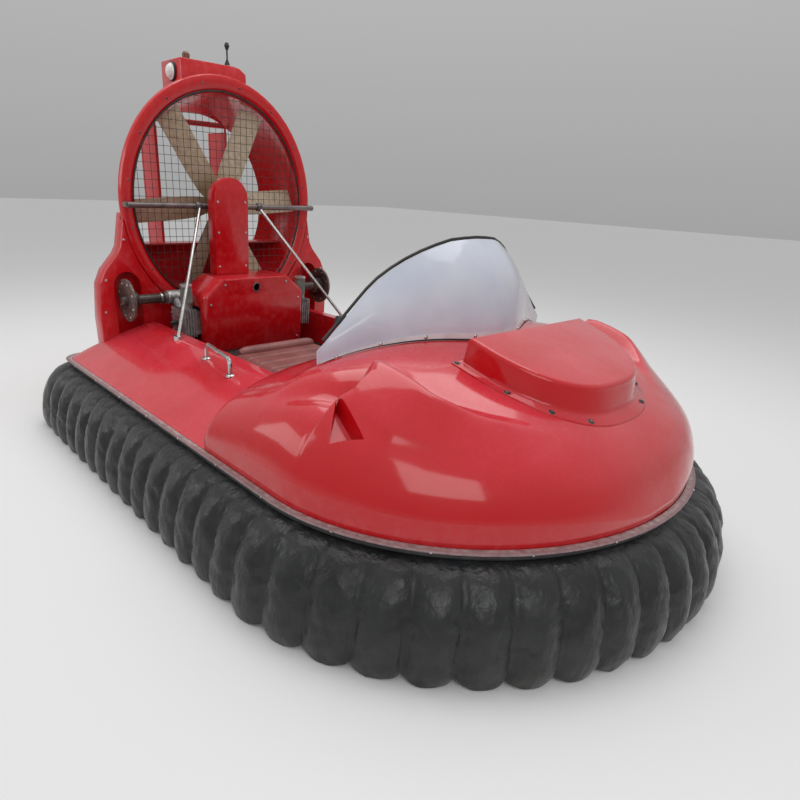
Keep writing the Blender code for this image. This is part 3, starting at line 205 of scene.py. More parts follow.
def speckle(tree, size, detail=4.0, stretch=(1, 1, 1), rough=0.5):
    """Noise with blobs of about that size in metres, stretched if asked."""
    spot = metres(tree)
    if tuple(stretch) != (1, 1, 1):
        spot = node(tree, "ShaderNodeMapping", Vector=spot, Scale=stretch).outputs["Vector"]
    return node(tree, "ShaderNodeTexNoise", Vector=spot, Scale=1 / size, Detail=detail,
                Roughness=rough).outputs["Fac"]


def spread(tree, value, low, high, start=0.35, end=0.65):
    """A noise's middle range spread between two numbers."""
    return node(tree, "ShaderNodeMapRange", i0=value, i1=start, i2=end, i3=low, i4=high).outputs["Result"]


def tint(tree, share, one, two):
    """Two colours mixed by a share."""
    made = node(tree, "ShaderNodeMix", {"data_type": "RGBA"})
    for plug, value in ((0, share), (6, (*one, 1) if isinstance(one, tuple) else one),
                        (7, (*two, 1) if isinstance(two, tuple) else two)):
        if isinstance(value, bpy.types.NodeSocket):
            tree.links.new(value, made.inputs[plug])
        else:
            made.inputs[plug].default_value = value
    return made.outputs[2]


print("noise sizes are in metres, so 0.01 gives grains of about 10 mm")

# %% [markdown]
# Relief is laid on in layers, from broad unevenness to fine grain. Dust, wear and the gelcoat's painted
# sheen need to know where a surface faces up and where it turns an outward edge, so two helpers read that
# from its geometry.

# %% Relief, dust and wear
def relief(tree, shader, layers):
    """Fine relief on a shader: (height, depth in metres) pairs laid over each other."""
    before = None
    for height, depth in layers:
        step = node(tree, "ShaderNodeBump", Height=height, Strength=1.0, Distance=depth)
        if before is not None:
            tree.links.new(before, step.inputs["Normal"])
        before = step.outputs["Normal"]
    tree.links.new(before, shader.inputs["Normal"])


def facing_up(tree):
    """How far a surface faces up, from 0 to 1: dust settles there, and the gelcoat's painted sheen lies
    there.
    """
    turn = node(tree, "ShaderNodeSeparateXYZ",
                Vector=tree.nodes.new("ShaderNodeNewGeometry").outputs["Normal"])
    return node(tree, "ShaderNodeMapRange", i0=turn.outputs["Z"], i1=0.50, i2=0.97).outputs["Result"]


def edges(tree):
    """Bright where the surface turns an outward edge: wear shows there."""
    point = tree.nodes.new("ShaderNodeNewGeometry").outputs["Pointiness"]
    return node(tree, "ShaderNodeMapRange", i0=point, i1=0.515, i2=0.56).outputs["Result"]


def times(tree, one, two):
    """Two shares multiplied."""
    return node(tree, "ShaderNodeMath", {"operation": "MULTIPLY"}, i0=one, i1=two).outputs[0]


print("finishes so far", len(bpy.data.materials))

# %% [markdown]
# ## Gelcoat
# The hull skin is red gelcoat over glass cloth: a deep colour under a glossy clear layer, a faint
# print of the cloth, a painted pale pink sheen where it faces up, and fine scuffs along edges.

# %% Red gelcoat
RED = (0.56, 0.003, 0.007)
# Pale pink of the painted sheen, the sky's reflection painted onto upward faces
SHEEN_PINK = (0.70, 0.045, 0.070)
SCUFF = (0.70, 0.09, 0.10)
DUST = (0.75, 0.62, 0.58)
CLOTH_PRINT = 0.00002
ORANGE_PEEL = 0.00012
UNEVEN = 0.006


def gelcoat(name, gloss, sheen_strength):
    """Red gelcoat of some gloss, with a painted pale pink sheen on its upward faces, stronger or weaker."""
    look, tree, shader = new_look(name)
    cloud = speckle(tree, 0.30, 5.0)
    # Painted sheen: upward faces are tinted pale pink in place of the sky's reflection on the gelcoat
    painted_sheen = times(tree, facing_up(tree), spread(tree, cloud, 0.25 * sheen_strength, sheen_strength))
    colour = tint(tree, painted_sheen, RED, SHEEN_PINK)
    worn = times(tree, edges(tree), spread(tree, speckle(tree, 0.03), 0.0, 0.25, 0.45, 0.7))
    colour = tint(tree, worn, colour, SCUFF)
    dusty = times(tree, facing_up(tree), spread(tree, speckle(tree, 0.012, 6.0), 0.0, 0.04, 0.5, 0.75))
    colour = tint(tree, dusty, colour, DUST)
    tree.links.new(colour, shader.inputs["Base Color"])
    tree.links.new(spread(tree, speckle(tree, 0.09, 5.0), gloss + 0.10, gloss + 0.34),
                   shader.inputs["Roughness"])
    shader.inputs["Specular IOR Level"].default_value = 0.12
    shader.inputs["Coat Weight"].default_value = 1.0
    shader.inputs["Coat Roughness"].default_value = gloss
    weave = node(tree, "ShaderNodeTexVoronoi", Vector=metres(tree), Scale=260.0)
    relief(tree, shader, ((speckle(tree, 0.16, 2.0), UNEVEN), (speckle(tree, 0.010, 2.0), ORANGE_PEEL),
                          (weave.outputs["Distance"], CLOTH_PRINT)))
    return look


# The last number is the strength of the painted sheen on upward faces
gel_skin = gelcoat("red_gelcoat", 0.10, 0.85)
gel_upright = gelcoat("red_gelcoat_upright", 0.16, 0.55)
gel_fittings = gelcoat("red_moulding", 0.26, 0.35)
print("gelcoats", gel_skin.name, gel_upright.name, gel_fittings.name)

# %% [markdown]
# ## Plain finishes
# One recipe serves the plainer finishes: a base colour drifting to a second one, a gloss that
# drifts too, a stretched grain for drawn or moulded pieces, and wear that shows on outward edges.

# %% A recipe for plain finishes
def plain(name, one, two, rough, grain=0.004, depth=0.0002, metal=0.0, stretch=(1, 1, 1), wear=None,
          dust=0.0, cloud=0.05):
    """rough is the range of its roughness, grain and depth the size and height of its relief."""
    look, tree, shader = new_look(name)
    colour = tint(tree, spread(tree, speckle(tree, cloud, 5.0), 0.0, 1.0), one, two)
    if wear:
        colour = tint(tree, times(tree, edges(tree), spread(tree, speckle(tree, 0.02), 0.2, 1.0)),
                      colour, wear)
    if dust:
        colour = tint(tree, times(tree, facing_up(tree), spread(tree, speckle(tree, 0.05, 6.0), 0, dust)),
                      colour, (0.42, 0.38, 0.33))
    tree.links.new(colour, shader.inputs["Base Color"])
    tree.links.new(spread(tree, speckle(tree, grain * 5, 4.0, stretch), rough[0], rough[1]),
                   shader.inputs["Roughness"])
    shader.inputs["Metallic"].default_value = metal
    relief(tree, shader, ((speckle(tree, grain, 3.0, stretch), depth),
                          (speckle(tree, grain * 12, 3.0), depth * 3)))
    return look


print("recipe plain: base colour, gloss, grain, wear and dust")

# %% [markdown]
# The recipe is used for every metal, rubber and plastic on the craft. The colours are those of the
# photo where it shows the piece, and usual ones elsewhere.

# %% Metals, rubbers and plastics
steel = plain("bright_steel", (0.62, 0.62, 0.61), (0.50, 0.49, 0.48), (0.16, 0.34), 0.003, 0.00006, 1.0,
              (1, 1, 0.1))
dull_steel = plain("dull_steel", (0.24, 0.20, 0.19), (0.14, 0.12, 0.12), (0.30, 0.50), 0.003, 0.0001, 0.7,
                   (1, 0.1, 1))
alloy = plain("cast_alloy", (0.34, 0.34, 0.34), (0.20, 0.19, 0.18), (0.36, 0.62), 0.0025, 0.0005, 0.85,
              wear=(0.62, 0.62, 0.62))
heat_black = plain("heat_black", (0.020, 0.018, 0.018), (0.060, 0.042, 0.034), (0.36, 0.60), 0.003, 0.0003,
                   0.35, wear=(0.20, 0.16, 0.14))
black_metal = plain("black_metal", (0.018, 0.018, 0.020), (0.035, 0.034, 0.034), (0.30, 0.50), 0.003,
                    0.0001, 0.3, wear=(0.22, 0.22, 0.22))
rubber = plain("black_rubber", (0.016, 0.016, 0.017), (0.030, 0.029, 0.029), (0.45, 0.68), 0.002, 0.0002,
               dust=0.10)
rail_look = plain("rail_strip", (0.27, 0.12, 0.13), (0.17, 0.08, 0.09), (0.34, 0.55), 0.004, 0.0001,
                  wear=(0.50, 0.38, 0.38), dust=0.15)
hull_black = plain("hull_black", (0.014, 0.014, 0.016), (0.030, 0.030, 0.032), (0.28, 0.52), 0.006, 0.0003,
                   wear=(0.10, 0.10, 0.10), dust=0.10)
runner_look = plain("runner_plastic", (0.020, 0.020, 0.021), (0.050, 0.048, 0.046), (0.42, 0.66), 0.003,
                    0.0004, 0.0, (0.06, 1, 1), wear=(0.16, 0.15, 0.14))
tan = plain("blade_plastic", (0.50, 0.385, 0.24), (0.36, 0.27, 0.165), (0.30, 0.46), 0.003, 0.00012,
            cloud=0.10, wear=(0.62, 0.52, 0.38))
knob_look = plain("brown_plastic", (0.20, 0.085, 0.04), (0.12, 0.05, 0.03), (0.30, 0.45), 0.002, 0.0001)
wire_look = plain("guard_wire", (0.022, 0.022, 0.024), (0.055, 0.050, 0.046), (0.32, 0.55), 0.002, 0.0001,
                  0.5)
grey_foam = plain("filter_foam", (0.15, 0.17, 0.15), (0.24, 0.26, 0.23), (0.6, 0.85), 0.002, 0.0008)
lamp_look = plain("lamp_lens", (0.82, 0.82, 0.80), (0.70, 0.70, 0.68), (0.08, 0.18), 0.004, 0.0001)
print("finishes so far", len(bpy.data.materials))

# %% [markdown]
# ## Carried-over solids
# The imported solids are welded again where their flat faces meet, smoothed where they are round and
# kept crisp at their edges. The steps are modifiers, so the solids themselves stay as they are.

# %% Rounding as a chain of geometry nodes
SMOOTH_ANGLE = math.radians(34)
WELD = 0.00002

rounding = bpy.data.node_groups.new("round_where_soft", "GeometryNodeTree")
rounding.interface.new_socket("Geometry", in_out="INPUT", socket_type="NodeSocketGeometry")
rounding.interface.new_socket("Geometry", in_out="OUTPUT", socket_type="NodeSocketGeometry")
step_in = rounding.nodes.new("NodeGroupInput")
step_out = rounding.nodes.new("NodeGroupOutput")
weld = node(rounding, "GeometryNodeMergeByDistance", Geometry=step_in.outputs[0], Distance=WELD)
soft = node(rounding, "GeometryNodeSetShadeSmooth", {"domain": "FACE"}, i0=weld.outputs[0])
angle = rounding.nodes.new("GeometryNodeInputMeshEdgeAngle").outputs["Unsigned Angle"]
turned_hard = node(rounding, "FunctionNodeCompare", {"operation": "GREATER_THAN"}, i0=angle,
                   i1=SMOOTH_ANGLE)
crisp = node(rounding, "GeometryNodeSetShadeSmooth", {"domain": "EDGE"}, i0=soft.outputs[0],
             i1=turned_hard.outputs[0], i2=False)
rounding.links.new(crisp.outputs[0], step_out.inputs[0])


def dress(name, look):
    """A carried-over solid gets its finish and its rounding."""
    item = nodes[name]
    step = item.modifiers.new("rounding", "NODES")
    step.node_group = rounding
    for slot in item.material_slots:
        slot.material = look
    if not item.material_slots:
        item.data.materials.append(look)


print("rounding nodes", len(rounding.nodes))

# %% [markdown]
# Each solid that keeps its shape is listed under its finish, so that one loop dresses them all.

# %% Which solid has which finish
finishes = {
    gel_upright: "pedestal_left pedestal_right tail_box belt_guard engine_cover",
    gel_fittings: "seat_base rudder_left rudder_right rudder_bar_top rudder_bar_bottom air_splitter",
    steel: "grab_handle_left grab_handle_right stay_left stay_right", dull_steel: "cross_bar",
    alloy: "engine_block", heat_black: "exhaust_pipe exhaust_pipe_left muffler muffler_left",
    black_metal: "steering_column handlebar", rubber: "windscreen_trim aerial_post",
    hull_black: "hull_bottom", runner_look: "skid_left skid_centre skid_right",
    tan: "fan", knob_look: "knob", lamp_look: "lamp",
}
for look, names in finishes.items():
    for name in names.split():
        dress(name, look)
print("dressed", sum(len(names.split()) for names in finishes.values()))

# %% [markdown]
# ## The hull's lines
# The skin, the rail and the skirt all follow one plan: straight sides, an elliptic bow and rounded
# stern corners. The same few formulas that shaped the solids give finer meshes here.

# %% Plan of the hull, as points and running lengths
HULL_LENGTH = 2.56
HALF_BEAM = 0.90
BOW_LENGTH = 0.75
BOW_START = HULL_LENGTH - BOW_LENGTH
STERN_CORNER = 0.10
RAIL_Z = 0.336
SEAM_Z = 0.3205
DECK_INSET = 0.006
WALL = 0.012
CORNER_STEPS = 12
BOW_STEPS = 96


def half_plan(grow=0.0):
    """Plan points of the port half, from the stern's middle to the stem, grown outward."""
    half, stern = HALF_BEAM + grow, -grow
    points = [Vector((stern, 0.0)), Vector((stern, half - STERN_CORNER))]
    corner = Vector((stern + STERN_CORNER, half - STERN_CORNER))
    for i in range(1, CORNER_STEPS + 1):
        angle = math.pi / 2 * i / CORNER_STEPS
        points.append(corner + STERN_CORNER * Vector((-math.cos(angle), math.sin(angle))))
    for i in range(BOW_STEPS + 1):
        angle = math.pi / 2 * i / BOW_STEPS
        points.append(Vector((BOW_START + (BOW_LENGTH + grow) * math.sin(angle), half * math.cos(angle))))
    return points


def walk(points):
    """Running length at each plan point."""
    lengths = [0.0]
    for one, two in zip(points, points[1:]):
        lengths.append(lengths[-1] + (two - one).length)
    return lengths


PLAN = half_plan()
LENGTHS = walk(PLAN)
PLAN_HALF = LENGTHS[-1]
print("plan", round(2 * PLAN_HALF, 3), "m round the edge")

# %% [markdown]
# The skirt and the rivets need the place and the outward direction at any distance along the plan. The
# deck and cowl need its half width at any station.

# %% Reading the plan
def plan_place(distance):
    """Point at a distance along the port half plan, across the middle for a negative one."""
    run = min(abs(distance), PLAN_HALF)
    low, high = 0, len(LENGTHS) - 2
    while low < high:
        middle = (low + high + 1) // 2
        if LENGTHS[middle] <= run:
            low = middle
        else:
            high = middle - 1
    share = (run - LENGTHS[low]) / (LENGTHS[low + 1] - LENGTHS[low])
    spot = PLAN[low].lerp(PLAN[low + 1], share)
    return Vector((spot.x, math.copysign(spot.y, distance))) if distance else spot


def plan_normal(distance):
    """Outward direction at a distance along the plan."""
    reach = 0.012
    if PLAN_HALF - abs(distance) < reach:
        return Vector((1.0, 0.0))
    along = (plan_place(distance + reach) - plan_place(distance - reach)).normalized()
    return Vector((-along.y, along.x))


def half_width(station, grow=0.0):
    """Half the width at a station, on the plan's edge or on the plan grown outward."""
    half = HALF_BEAM + grow
    run = station + grow
    if run < STERN_CORNER:
        rise = STERN_CORNER ** 2 - (STERN_CORNER - run) ** 2
        return half - STERN_CORNER + math.sqrt(max(rise, 0.0))
    if station <= BOW_START:
        return half
    share = (station - BOW_START) / (BOW_LENGTH + grow)
    return half * math.sqrt(max(1 - share * share, 0.0))


print("half width 2.2 m ahead of the stern", round(half_width(2.2), 3))

# %% [markdown]
# Every new piece ends the same way: a mesh with its finish, smooth where it is round, that rides on a
# body of the craft. Three small helpers do that, and work modifiers into a mesh.

# %% From mesh to piece
def add_piece(name, shape, look, body="hull", smooth=None):
    """A mesh turned into a finished piece that rides on a body."""
    bmesh.ops.recalc_face_normals(shape, faces=shape.faces)
    mesh = bpy.data.meshes.new(name)
    shape.to_mesh(mesh)
    shape.free()
    mesh.materials.append(look)
    mesh.shade_smooth()
    if smooth is not None:
        mesh.set_sharp_from_angle(angle=math.radians(smooth))
    item = bpy.data.objects.new(name, mesh)
    scene.collection.objects.link(item)
    if body:
        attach(item, body)
    return item


def bake(item):
    """An object's modifiers worked into its mesh."""
    graph = bpy.context.evaluated_depsgraph_get()
    graph.update()
    done = bpy.data.meshes.new_from_object(item.evaluated_get(graph))
    item.modifiers.clear()
    item.data = done
    return item


def remove(*items):
    """Cutters go once they have done their work."""
    for item in items:
        bpy.data.objects.remove(item, do_unlink=True)


print("meshes so far", len(bpy.data.meshes))

# %% [markdown]
# ## Rub rail
# A strip of faded pinkish grey rubber runs round the seam between hull and deck, with a black bead
# under it. A section swept round the plan gives both, with a fresh ring of points at every step.

# %% Rub rail and its bead
def ring_sweep(section, look, name):
    """A closed section of (offset, height) points swept round the plan."""
    shape = bmesh.new()
    rows = []
    for offset, z in section:
        half = half_plan(offset)
        ring = half + [Vector((p.x, -p.y)) for p in half[-2:0:-1]]
        rows.append([shape.verts.new(at(p.x, p.y, z)) for p in ring])
    for one, two in zip(rows, rows[1:] + rows[:1]):
        for i in range(len(one)):
            j = (i + 1) % len(one)
            shape.faces.new((one[i], one[j], two[j], two[i]))
    return add_piece(name, shape, look, smooth=50)


STRIP_BACK = -0.004
STRIP_TOP = 0.3385
STRIP_FOOT = 0.3290
STRIP_MIDDLE = (0.013, 0.3345)
STRIP_ROUND = (0.007, 0.0050)
BEAD_MIDDLE = (0.008, 0.3215)
BEAD_R = 0.0075

strip = [(STRIP_BACK, STRIP_TOP)]
for i in range(9):
    turn = math.pi * (0.5 - i / 8)
    strip.append((STRIP_MIDDLE[0] + STRIP_ROUND[0] * math.cos(turn),
                  STRIP_MIDDLE[1] + STRIP_ROUND[1] * math.sin(turn)))
strip.append((STRIP_BACK, STRIP_FOOT))
rub_strip = ring_sweep(strip, rail_look, "rub_strip")
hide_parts("gunwale_rail")
bead = [(BEAD_MIDDLE[0] + BEAD_R * math.cos(a), BEAD_MIDDLE[1] + BEAD_R * math.sin(a))
        for a in (math.pi * 2 * i / 10 for i in range(10))]
rail_bead = ring_sweep(bead, rubber, "rail_bead")
print("rail", len(rub_strip.data.polygons), len(rail_bead.data.polygons))

# %% [markdown]
# ## Deck
# The side decks slope up from the rail to a level strip beside the cockpit. On the real moulding the
# slopes meet in soft edges, so a fine grid follows the same planes with a rounding between them.

# %% Height of the side decks
DECK_Z = 0.490
DECK_INNER = 0.520
STERN_SLOPE = 0.14
COWL_AFT = 1.405
WELL = (0.12, 2.02, 0.46)
FLOOR_Z = 0.170
SOFT_MEET = 0.010


def soft_min(values, width):
    """The lowest of some values, with a rounded change from one to the next."""
    low = min(values)
    return low - width * math.log(sum(math.exp((low - v) / width) for v in values))


def deck_height(station, y):
    """The lower of the side slope, the stern slope and the level strip, softly joined."""
    edge = max(half_width(station) - abs(y), 0.0)
    side = RAIL_Z + edge * (DECK_Z - RAIL_Z) / (HALF_BEAM - DECK_INNER)
    stern = RAIL_Z + station * (DECK_Z - RAIL_Z) / STERN_SLOPE
    return max(soft_min((side, stern, DECK_Z), SOFT_MEET / 3), RAIL_Z)


def spaced(low, high, step):
    """Even places from low to high, about a step apart."""
    count = max(int(round((high - low) / step)), 1)
    return [low + (high - low) * i / count for i in range(count + 1)]


print("deck beside the well", round(deck_height(0.9, 0.5), 3), "m high")

# %% [markdown]
# Deck and cowl are both a height over a plan, closed by a flat underside. One function builds that
# body, and Boolean cuts take out the cockpit well.

# %% Bodies from a height, and cuts in them
def height_body(name, stations, places, height, base, look, smooth):
    """A closed body between a flat base and a height field, both halves at once."""
    shape = bmesh.new()
    rows = []
    for station in stations:
        half = places(station)
        across = [-y for y in reversed(half[1:])] + half
        upper = [shape.verts.new(at(station, y, max(height(station, y), base + WALL))) for y in across]
        lower = [shape.verts.new(at(station, y, base)) for y in across]
        rows.append((upper, lower))
    for (up1, low1), (up2, low2) in zip(rows, rows[1:]):
        for i in range(len(up1) - 1):
            shape.faces.new((up1[i], up1[i + 1], up2[i + 1], up2[i]))
            shape.faces.new((low1[i], low2[i], low2[i + 1], low1[i + 1]))
        for i in (0, -1):
            shape.faces.new((up1[i], up2[i], low2[i], low1[i]))
    for upper, lower in (rows[0], rows[-1]):
        shape.faces.new(upper + lower[::-1])
    return add_piece(name, shape, look, body=None, smooth=smooth)


def rounded_box(name, low, high, bevel):
    """A block with rounded edges, as a cutter."""
    shape = bmesh.new()
    bmesh.ops.create_cube(shape, size=1.0)
    size = Vector(high) - Vector(low)
    bmesh.ops.scale(shape, vec=size, verts=shape.verts)
    bmesh.ops.translate(shape, vec=(Vector(low) + Vector(high)) / 2, verts=shape.verts)
    bmesh.ops.bevel(shape, geom=shape.edges, offset=bevel, segments=4, profile=0.5, affect="EDGES")
    return add_piece(name, shape, rubber, body=None)


def cut(item, *cutters):
    """The cutters taken out of a piece, one after the other."""
    for cutter in cutters:
        step = item.modifiers.new("cut", "BOOLEAN")
        step.operation = "DIFFERENCE"
        step.solver = "EXACT"
        step.object = cutter
    return bake(item)


print("made height_body, rounded_box and cut")

# %% [markdown]
# Places lie closer together over the slope, where the surface bends. The finished skin takes the place
# of the plain deck solid.

# %% Side decks
INNER_START = 0.48


def deck_places(station):
    """Places across the port half of the deck."""
    width = half_width(station, -DECK_INSET)
    return spaced(0.0, 0.46, 0.23) + [INNER_START + (width - INNER_START) * i / 24 for i in range(25)]


stations = spaced(DECK_INSET + 0.0002, 0.19, 0.008) + spaced(0.22, COWL_AFT - 0.0005, 0.04)
deck = height_body("side_decks", stations, deck_places, deck_height, SEAM_Z, gel_skin, 42)
well_space = rounded_box("well_space", at(WELL[0], -WELL[2], FLOOR_Z), at(WELL[1], WELL[2], 0.8), 0.05)
cut(deck, well_space)
deck.data.shade_smooth()
deck.data.set_sharp_from_angle(angle=math.radians(42))
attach(deck, "hull")
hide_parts("main_deck")
print("deck faces", len(deck.data.polygons))

# %% [markdown]
# ## Fore cowl
# The fore deck is one moulding with two side fairings, each with a blunt rear face and a
# three-cornered hollow behind its flank. A height formula on a fine grid gives its flowing surface.

# %% Lines of the fore cowl
RIM_DROP = 0.022
RIM_ROUND = 0.028
RIDGE = [(1.40, 0.600), (1.50, 0.642), (1.60, 0.682), (1.67, 0.712), (1.80, 0.728), (1.95, 0.712),
         (2.10, 0.675), (2.25, 0.630), (2.38, 0.575), (2.48, 0.495), (2.56, 0.350)]
CREST_Y = [(1.80, 0.612), (1.95, 0.610), (2.07, 0.600), (2.13, 0.565), (2.19, 0.516),
           (2.26, 0.438), (2.34, 0.360)]
CREST_RISE = [(1.80, 0.066), (2.05, 0.068), (2.13, 0.046), (2.19, 0.024), (2.26, 0.010), (2.33, 0.0)]
CREST_INNER = 0.085
CREST_OUTER = 0.240
CREST_LIMIT = 0.720
CREST_FLANK = [(0.0, 1.0), (0.42, 0.55), (0.50, 0.40), (0.67, 0.25), (1.0, 0.0)]
BEAK_AT = 1.885
BEAK_Y = 0.730
BEAK_ROUND = 0.014
CREST_SOFT = 0.024
RECESS_END = (2.040, 0.765)
RECESS_APEX = (1.960, 0.818)
RECESS_DEPTH = 0.034
GROOVE_START = Vector((1.600, 0.800))
GROOVE_END = Vector((1.885, 0.672))
GROOVE_DEPTH = 0.042
GROOVE_HALF = 0.046
print("ridge of", len(RIDGE), "points, crest of", len(CREST_Y))

# %% [markdown]
# A short table gives a line only at a few places. Reading it with smooth slopes between them gives the
# flowing lines of a moulding, without bumps at the table's own points.

# %% Smooth reading of a table
def slope_at(points, i):
    """Slope of a smooth line through a list's point, level where the list turns back."""
    if i == 0 or i == len(points) - 1:
        near = points[1] if i == 0 else points[-2]
        return (near[1] - points[i][1]) / (near[0] - points[i][0])
    before = (points[i][1] - points[i - 1][1]) / (points[i][0] - points[i - 1][0])
    after = (points[i + 1][1] - points[i][1]) / (points[i + 1][0] - points[i][0])
    return 0.0 if before * after <= 0 else 2 * before * after / (before + after)


def table(points, value):
    """Smooth reading between the (place, value) pairs of a short list."""
    if value <= points[0][0]:
        return points[0][1]
    for i in range(len(points) - 1):
        (x0, y0), (x1, y1) = points[i], points[i + 1]
        if value <= x1:
            run = x1 - x0
            t = (value - x0) / run
            leave, arrive = run * slope_at(points, i), run * slope_at(points, i + 1)
            return ((2 * t ** 3 - 3 * t ** 2 + 1) * y0 + (t ** 3 - 2 * t ** 2 + t) * leave
                    + (3 * t ** 2 - 2 * t ** 3) * y1 + (t ** 3 - t ** 2) * arrive)
    return points[-1][1]


print("ridge at 1.85 m", round(table(RIDGE, 1.85), 4))

# %% [markdown]
# The skin falls away to the edge in a full curve. The groove and the fairing are then taken from it
# and added to it, so each can be changed alone.

# %% Height of the fore cowl
def groove_drop(station, y):
    """Depth of the tapered hollow that runs forward to the foot of the fairing's rear face."""
    run = GROOVE_END - GROOVE_START
    spot = Vector((station, abs(y)))
    along = (spot - GROOVE_START).dot(run) / run.length_squared
    if along <= 0 or station > BEAK_AT + BEAK_ROUND:
        return 0.0
    along = min(along, 1.0)
    off = (spot - GROOVE_START.lerp(GROOVE_END, along)).length / GROOVE_HALF
    return GROOVE_DEPTH * along * math.exp(-off * off)


def skin_height(station, y):
    """Height of the cowl without its fairings, its rear edge rounded down."""
    width = half_width(station)
    share = min(abs(y) / width, 1.0) if width > 0.001 else 1.0
    height = RAIL_Z + (table(RIDGE, station) - RAIL_Z) * (1 - share ** 3.0) ** 0.40
    back = (station - COWL_AFT) / RIM_ROUND
    if back < 1:
        height -= RIM_DROP * (1 - math.sqrt(max(1 - (1 - back) ** 2, 0.0)))
    return height - groove_drop(station, y)


def crest_place(station):
    """How far out the fairing's crest runs."""
    return min(table(CREST_Y, station), CREST_LIMIT * half_width(station))


def fairing_rise(station, y):
    """Rise of the side fairing over the skin, rounded over at its blunt rear face."""
    if station <= BEAK_AT:
        return 0.0
    out = abs(y) - crest_place(station)
    if out < 0:
        shape = 0.5 + 0.5 * math.cos(math.pi * min(-out / CREST_INNER, 1.0))
    else:
        shape = table(CREST_FLANK, (math.hypot(out, CREST_SOFT) - CREST_SOFT) / CREST_OUTER)
    back = min((station - BEAK_AT) / BEAK_ROUND, 1.0)
    return table(CREST_RISE, station) * shape * math.sqrt(1 - (1 - back) ** 2)


def cowl_height(station, y):
    """Height of the skin with its fairings."""
    return skin_height(station, y) + fairing_rise(station, y)


print("cowl ridge", round(skin_height(1.8, 0.0), 3), "fairing crest", round(cowl_height(1.96, 0.61), 3))

# %% [markdown]
# Four things are cut from the cowl: the hollow under it, the cockpit opening, the hole under the
# bonnet and the hollows in its flanks. Each is a simple closed body made from the same lines.

# %% Opening and bonnet outlines, and a slab to cut them with
OPENING = [(1.380, 0.460), (1.440, 0.470), (1.560, 0.485), (1.640, 0.470), (1.700, 0.420),
           (1.750, 0.320), (1.785, 0.180), (1.795, 0.060)]
HATCH_BASE = (1.968, 0.350, 2.380)
HATCH_BOW_POWER = 2.4
HATCH_SIDE_POWER = 2.6


def hatch_outline(size, grow=0.0, points=48):
    """D shape of the nose hatch, square behind and round ahead, as (station, y)."""
    back, half, front = size[0] - grow, size[1] + grow, size[2] + grow
    outline = []
    for i in range(points + 1):
        turn = math.pi * (i / points - 0.5)
        ahead = max(math.cos(turn), 0.0) ** (2 / HATCH_BOW_POWER)
        aside = abs(math.sin(turn)) ** (2 / HATCH_SIDE_POWER)
        outline.append((back + (front - back) * ahead, math.copysign(half * aside, turn)))
    return outline


def slab(name, outline, low, high):
    """A flat outline of (station, y) points between two heights, as a cutter."""
    shape = bmesh.new()
    rows = [[shape.verts.new(at(x, y, z)) for x, y in outline] for z in (low, high)]
    for row in rows:
        shape.faces.new(row)
    for i in range(len(outline)):
        j = (i + 1) % len(outline)
        shape.faces.new((rows[0][i], rows[0][j], rows[1][j], rows[1][i]))
    return add_piece(name, shape, rubber, body=None)


def smooth_opening():
    """The cockpit opening, a smooth line through its half widths."""
    port = []
    for i in range(33):
        station = OPENING[0][0] + (OPENING[-1][0] - OPENING[0][0]) * math.sin(math.pi / 2 * i / 32)
        port.append((station, table(OPENING, station)))
    return port + [(x, -y) for x, y in reversed(port)]


print("opening of", len(smooth_opening()), "points, bonnet of", len(hatch_outline(HATCH_BASE)))

# %% [markdown]
# The flank hollow is the hull of six points, three over the surface and three under it. The hollow
# below the cowl follows its skin one wall thickness inside.

# %% Hollows in and under the cowl
def recess(side):
    """The three-cornered hollow behind the swept edge of the fairing's flank."""
    shape = bmesh.new()
    depths = (RECESS_DEPTH / 2, 0.0, RECESS_DEPTH)
    for (station, y), depth in zip(((BEAK_AT, BEAK_Y), RECESS_APEX, RECESS_END), depths):
        surface = skin_height(station, y)
        for z in (surface + 0.08, surface - depth):
            shape.verts.new(at(station, side * y, z))
    bmesh.ops.convex_hull(shape, input=shape.verts)
    return add_piece(f"recess_{side + 1}", shape, rubber, body=None)


ROOF_SPARE = 0.006


def under_height(station, y):
    """Roof of the hollow, lower below the groove and the flank hollows."""
    roof = skin_height(station, y) - WALL - ROOF_SPARE
    if GROOVE_START[0] - 0.05 < station < RECESS_END[0] + 0.05 and abs(y) > 0.60:
        roof -= RECESS_DEPTH
    return roof


def cavity():
    """The hollow under the cowl, one wall thickness inside its surface."""
    shape = bmesh.new()
    rows = []
    for station in spaced(COWL_AFT + 0.015, 2.42, 0.06):
        width = half_width(station, -DECK_INSET - WALL)
        shares = [math.sin(math.pi / 2 * k / 10) * 0.96 for k in range(-10, 11)]
        upper = [at(station, width * s, max(under_height(station, half_width(station)
                                                         * (abs(s) * 0.97 + 0.025)), SEAM_Z + WALL))
                 for s in shares]
        lower = [at(station, width * s, SEAM_Z - 0.05) for s in reversed(shares)]
        rows.append([shape.verts.new(p) for p in upper + lower])
    for one, two in zip(rows, rows[1:]):
        for i in range(len(one)):
            j = (i + 1) % len(one)
            shape.faces.new((one[i], one[j], two[j], two[i]))
    for row in (rows[0], rows[-1]):
        shape.faces.new(row)
    return add_piece("cowl_space", shape, rubber, body=None)


print("roof of the hollow", round(under_height(1.9, 0.0), 3), "m high at 1.9 m")

# %% [markdown]
# The grid is finest where the surface turns quickly: about the fairing's crest, at its rear face, at
# the stem and along the edge. Sine steps crowd the places there.

# %% Fore cowl, built and cut
def cowl_places(station):
    """Places across the port half, close together about the fairing's crest."""
    width = half_width(station, -DECK_INSET)
    crest = min(crest_place(station), CREST_LIMIT * width)
    inner = min(CREST_INNER, crest * 0.3)
    outer = min(CREST_OUTER, (width - crest) * 0.8)
    places = [(crest - inner) * i / 16 for i in range(16)]
    places += [crest - inner + inner * i / 10 for i in range(10)]
    places += [crest + outer * i / 24 for i in range(24)]
    edge = crest + outer
    return places + [edge + (width - edge) * math.sin(math.pi / 2 * i / 14) for i in range(15)]


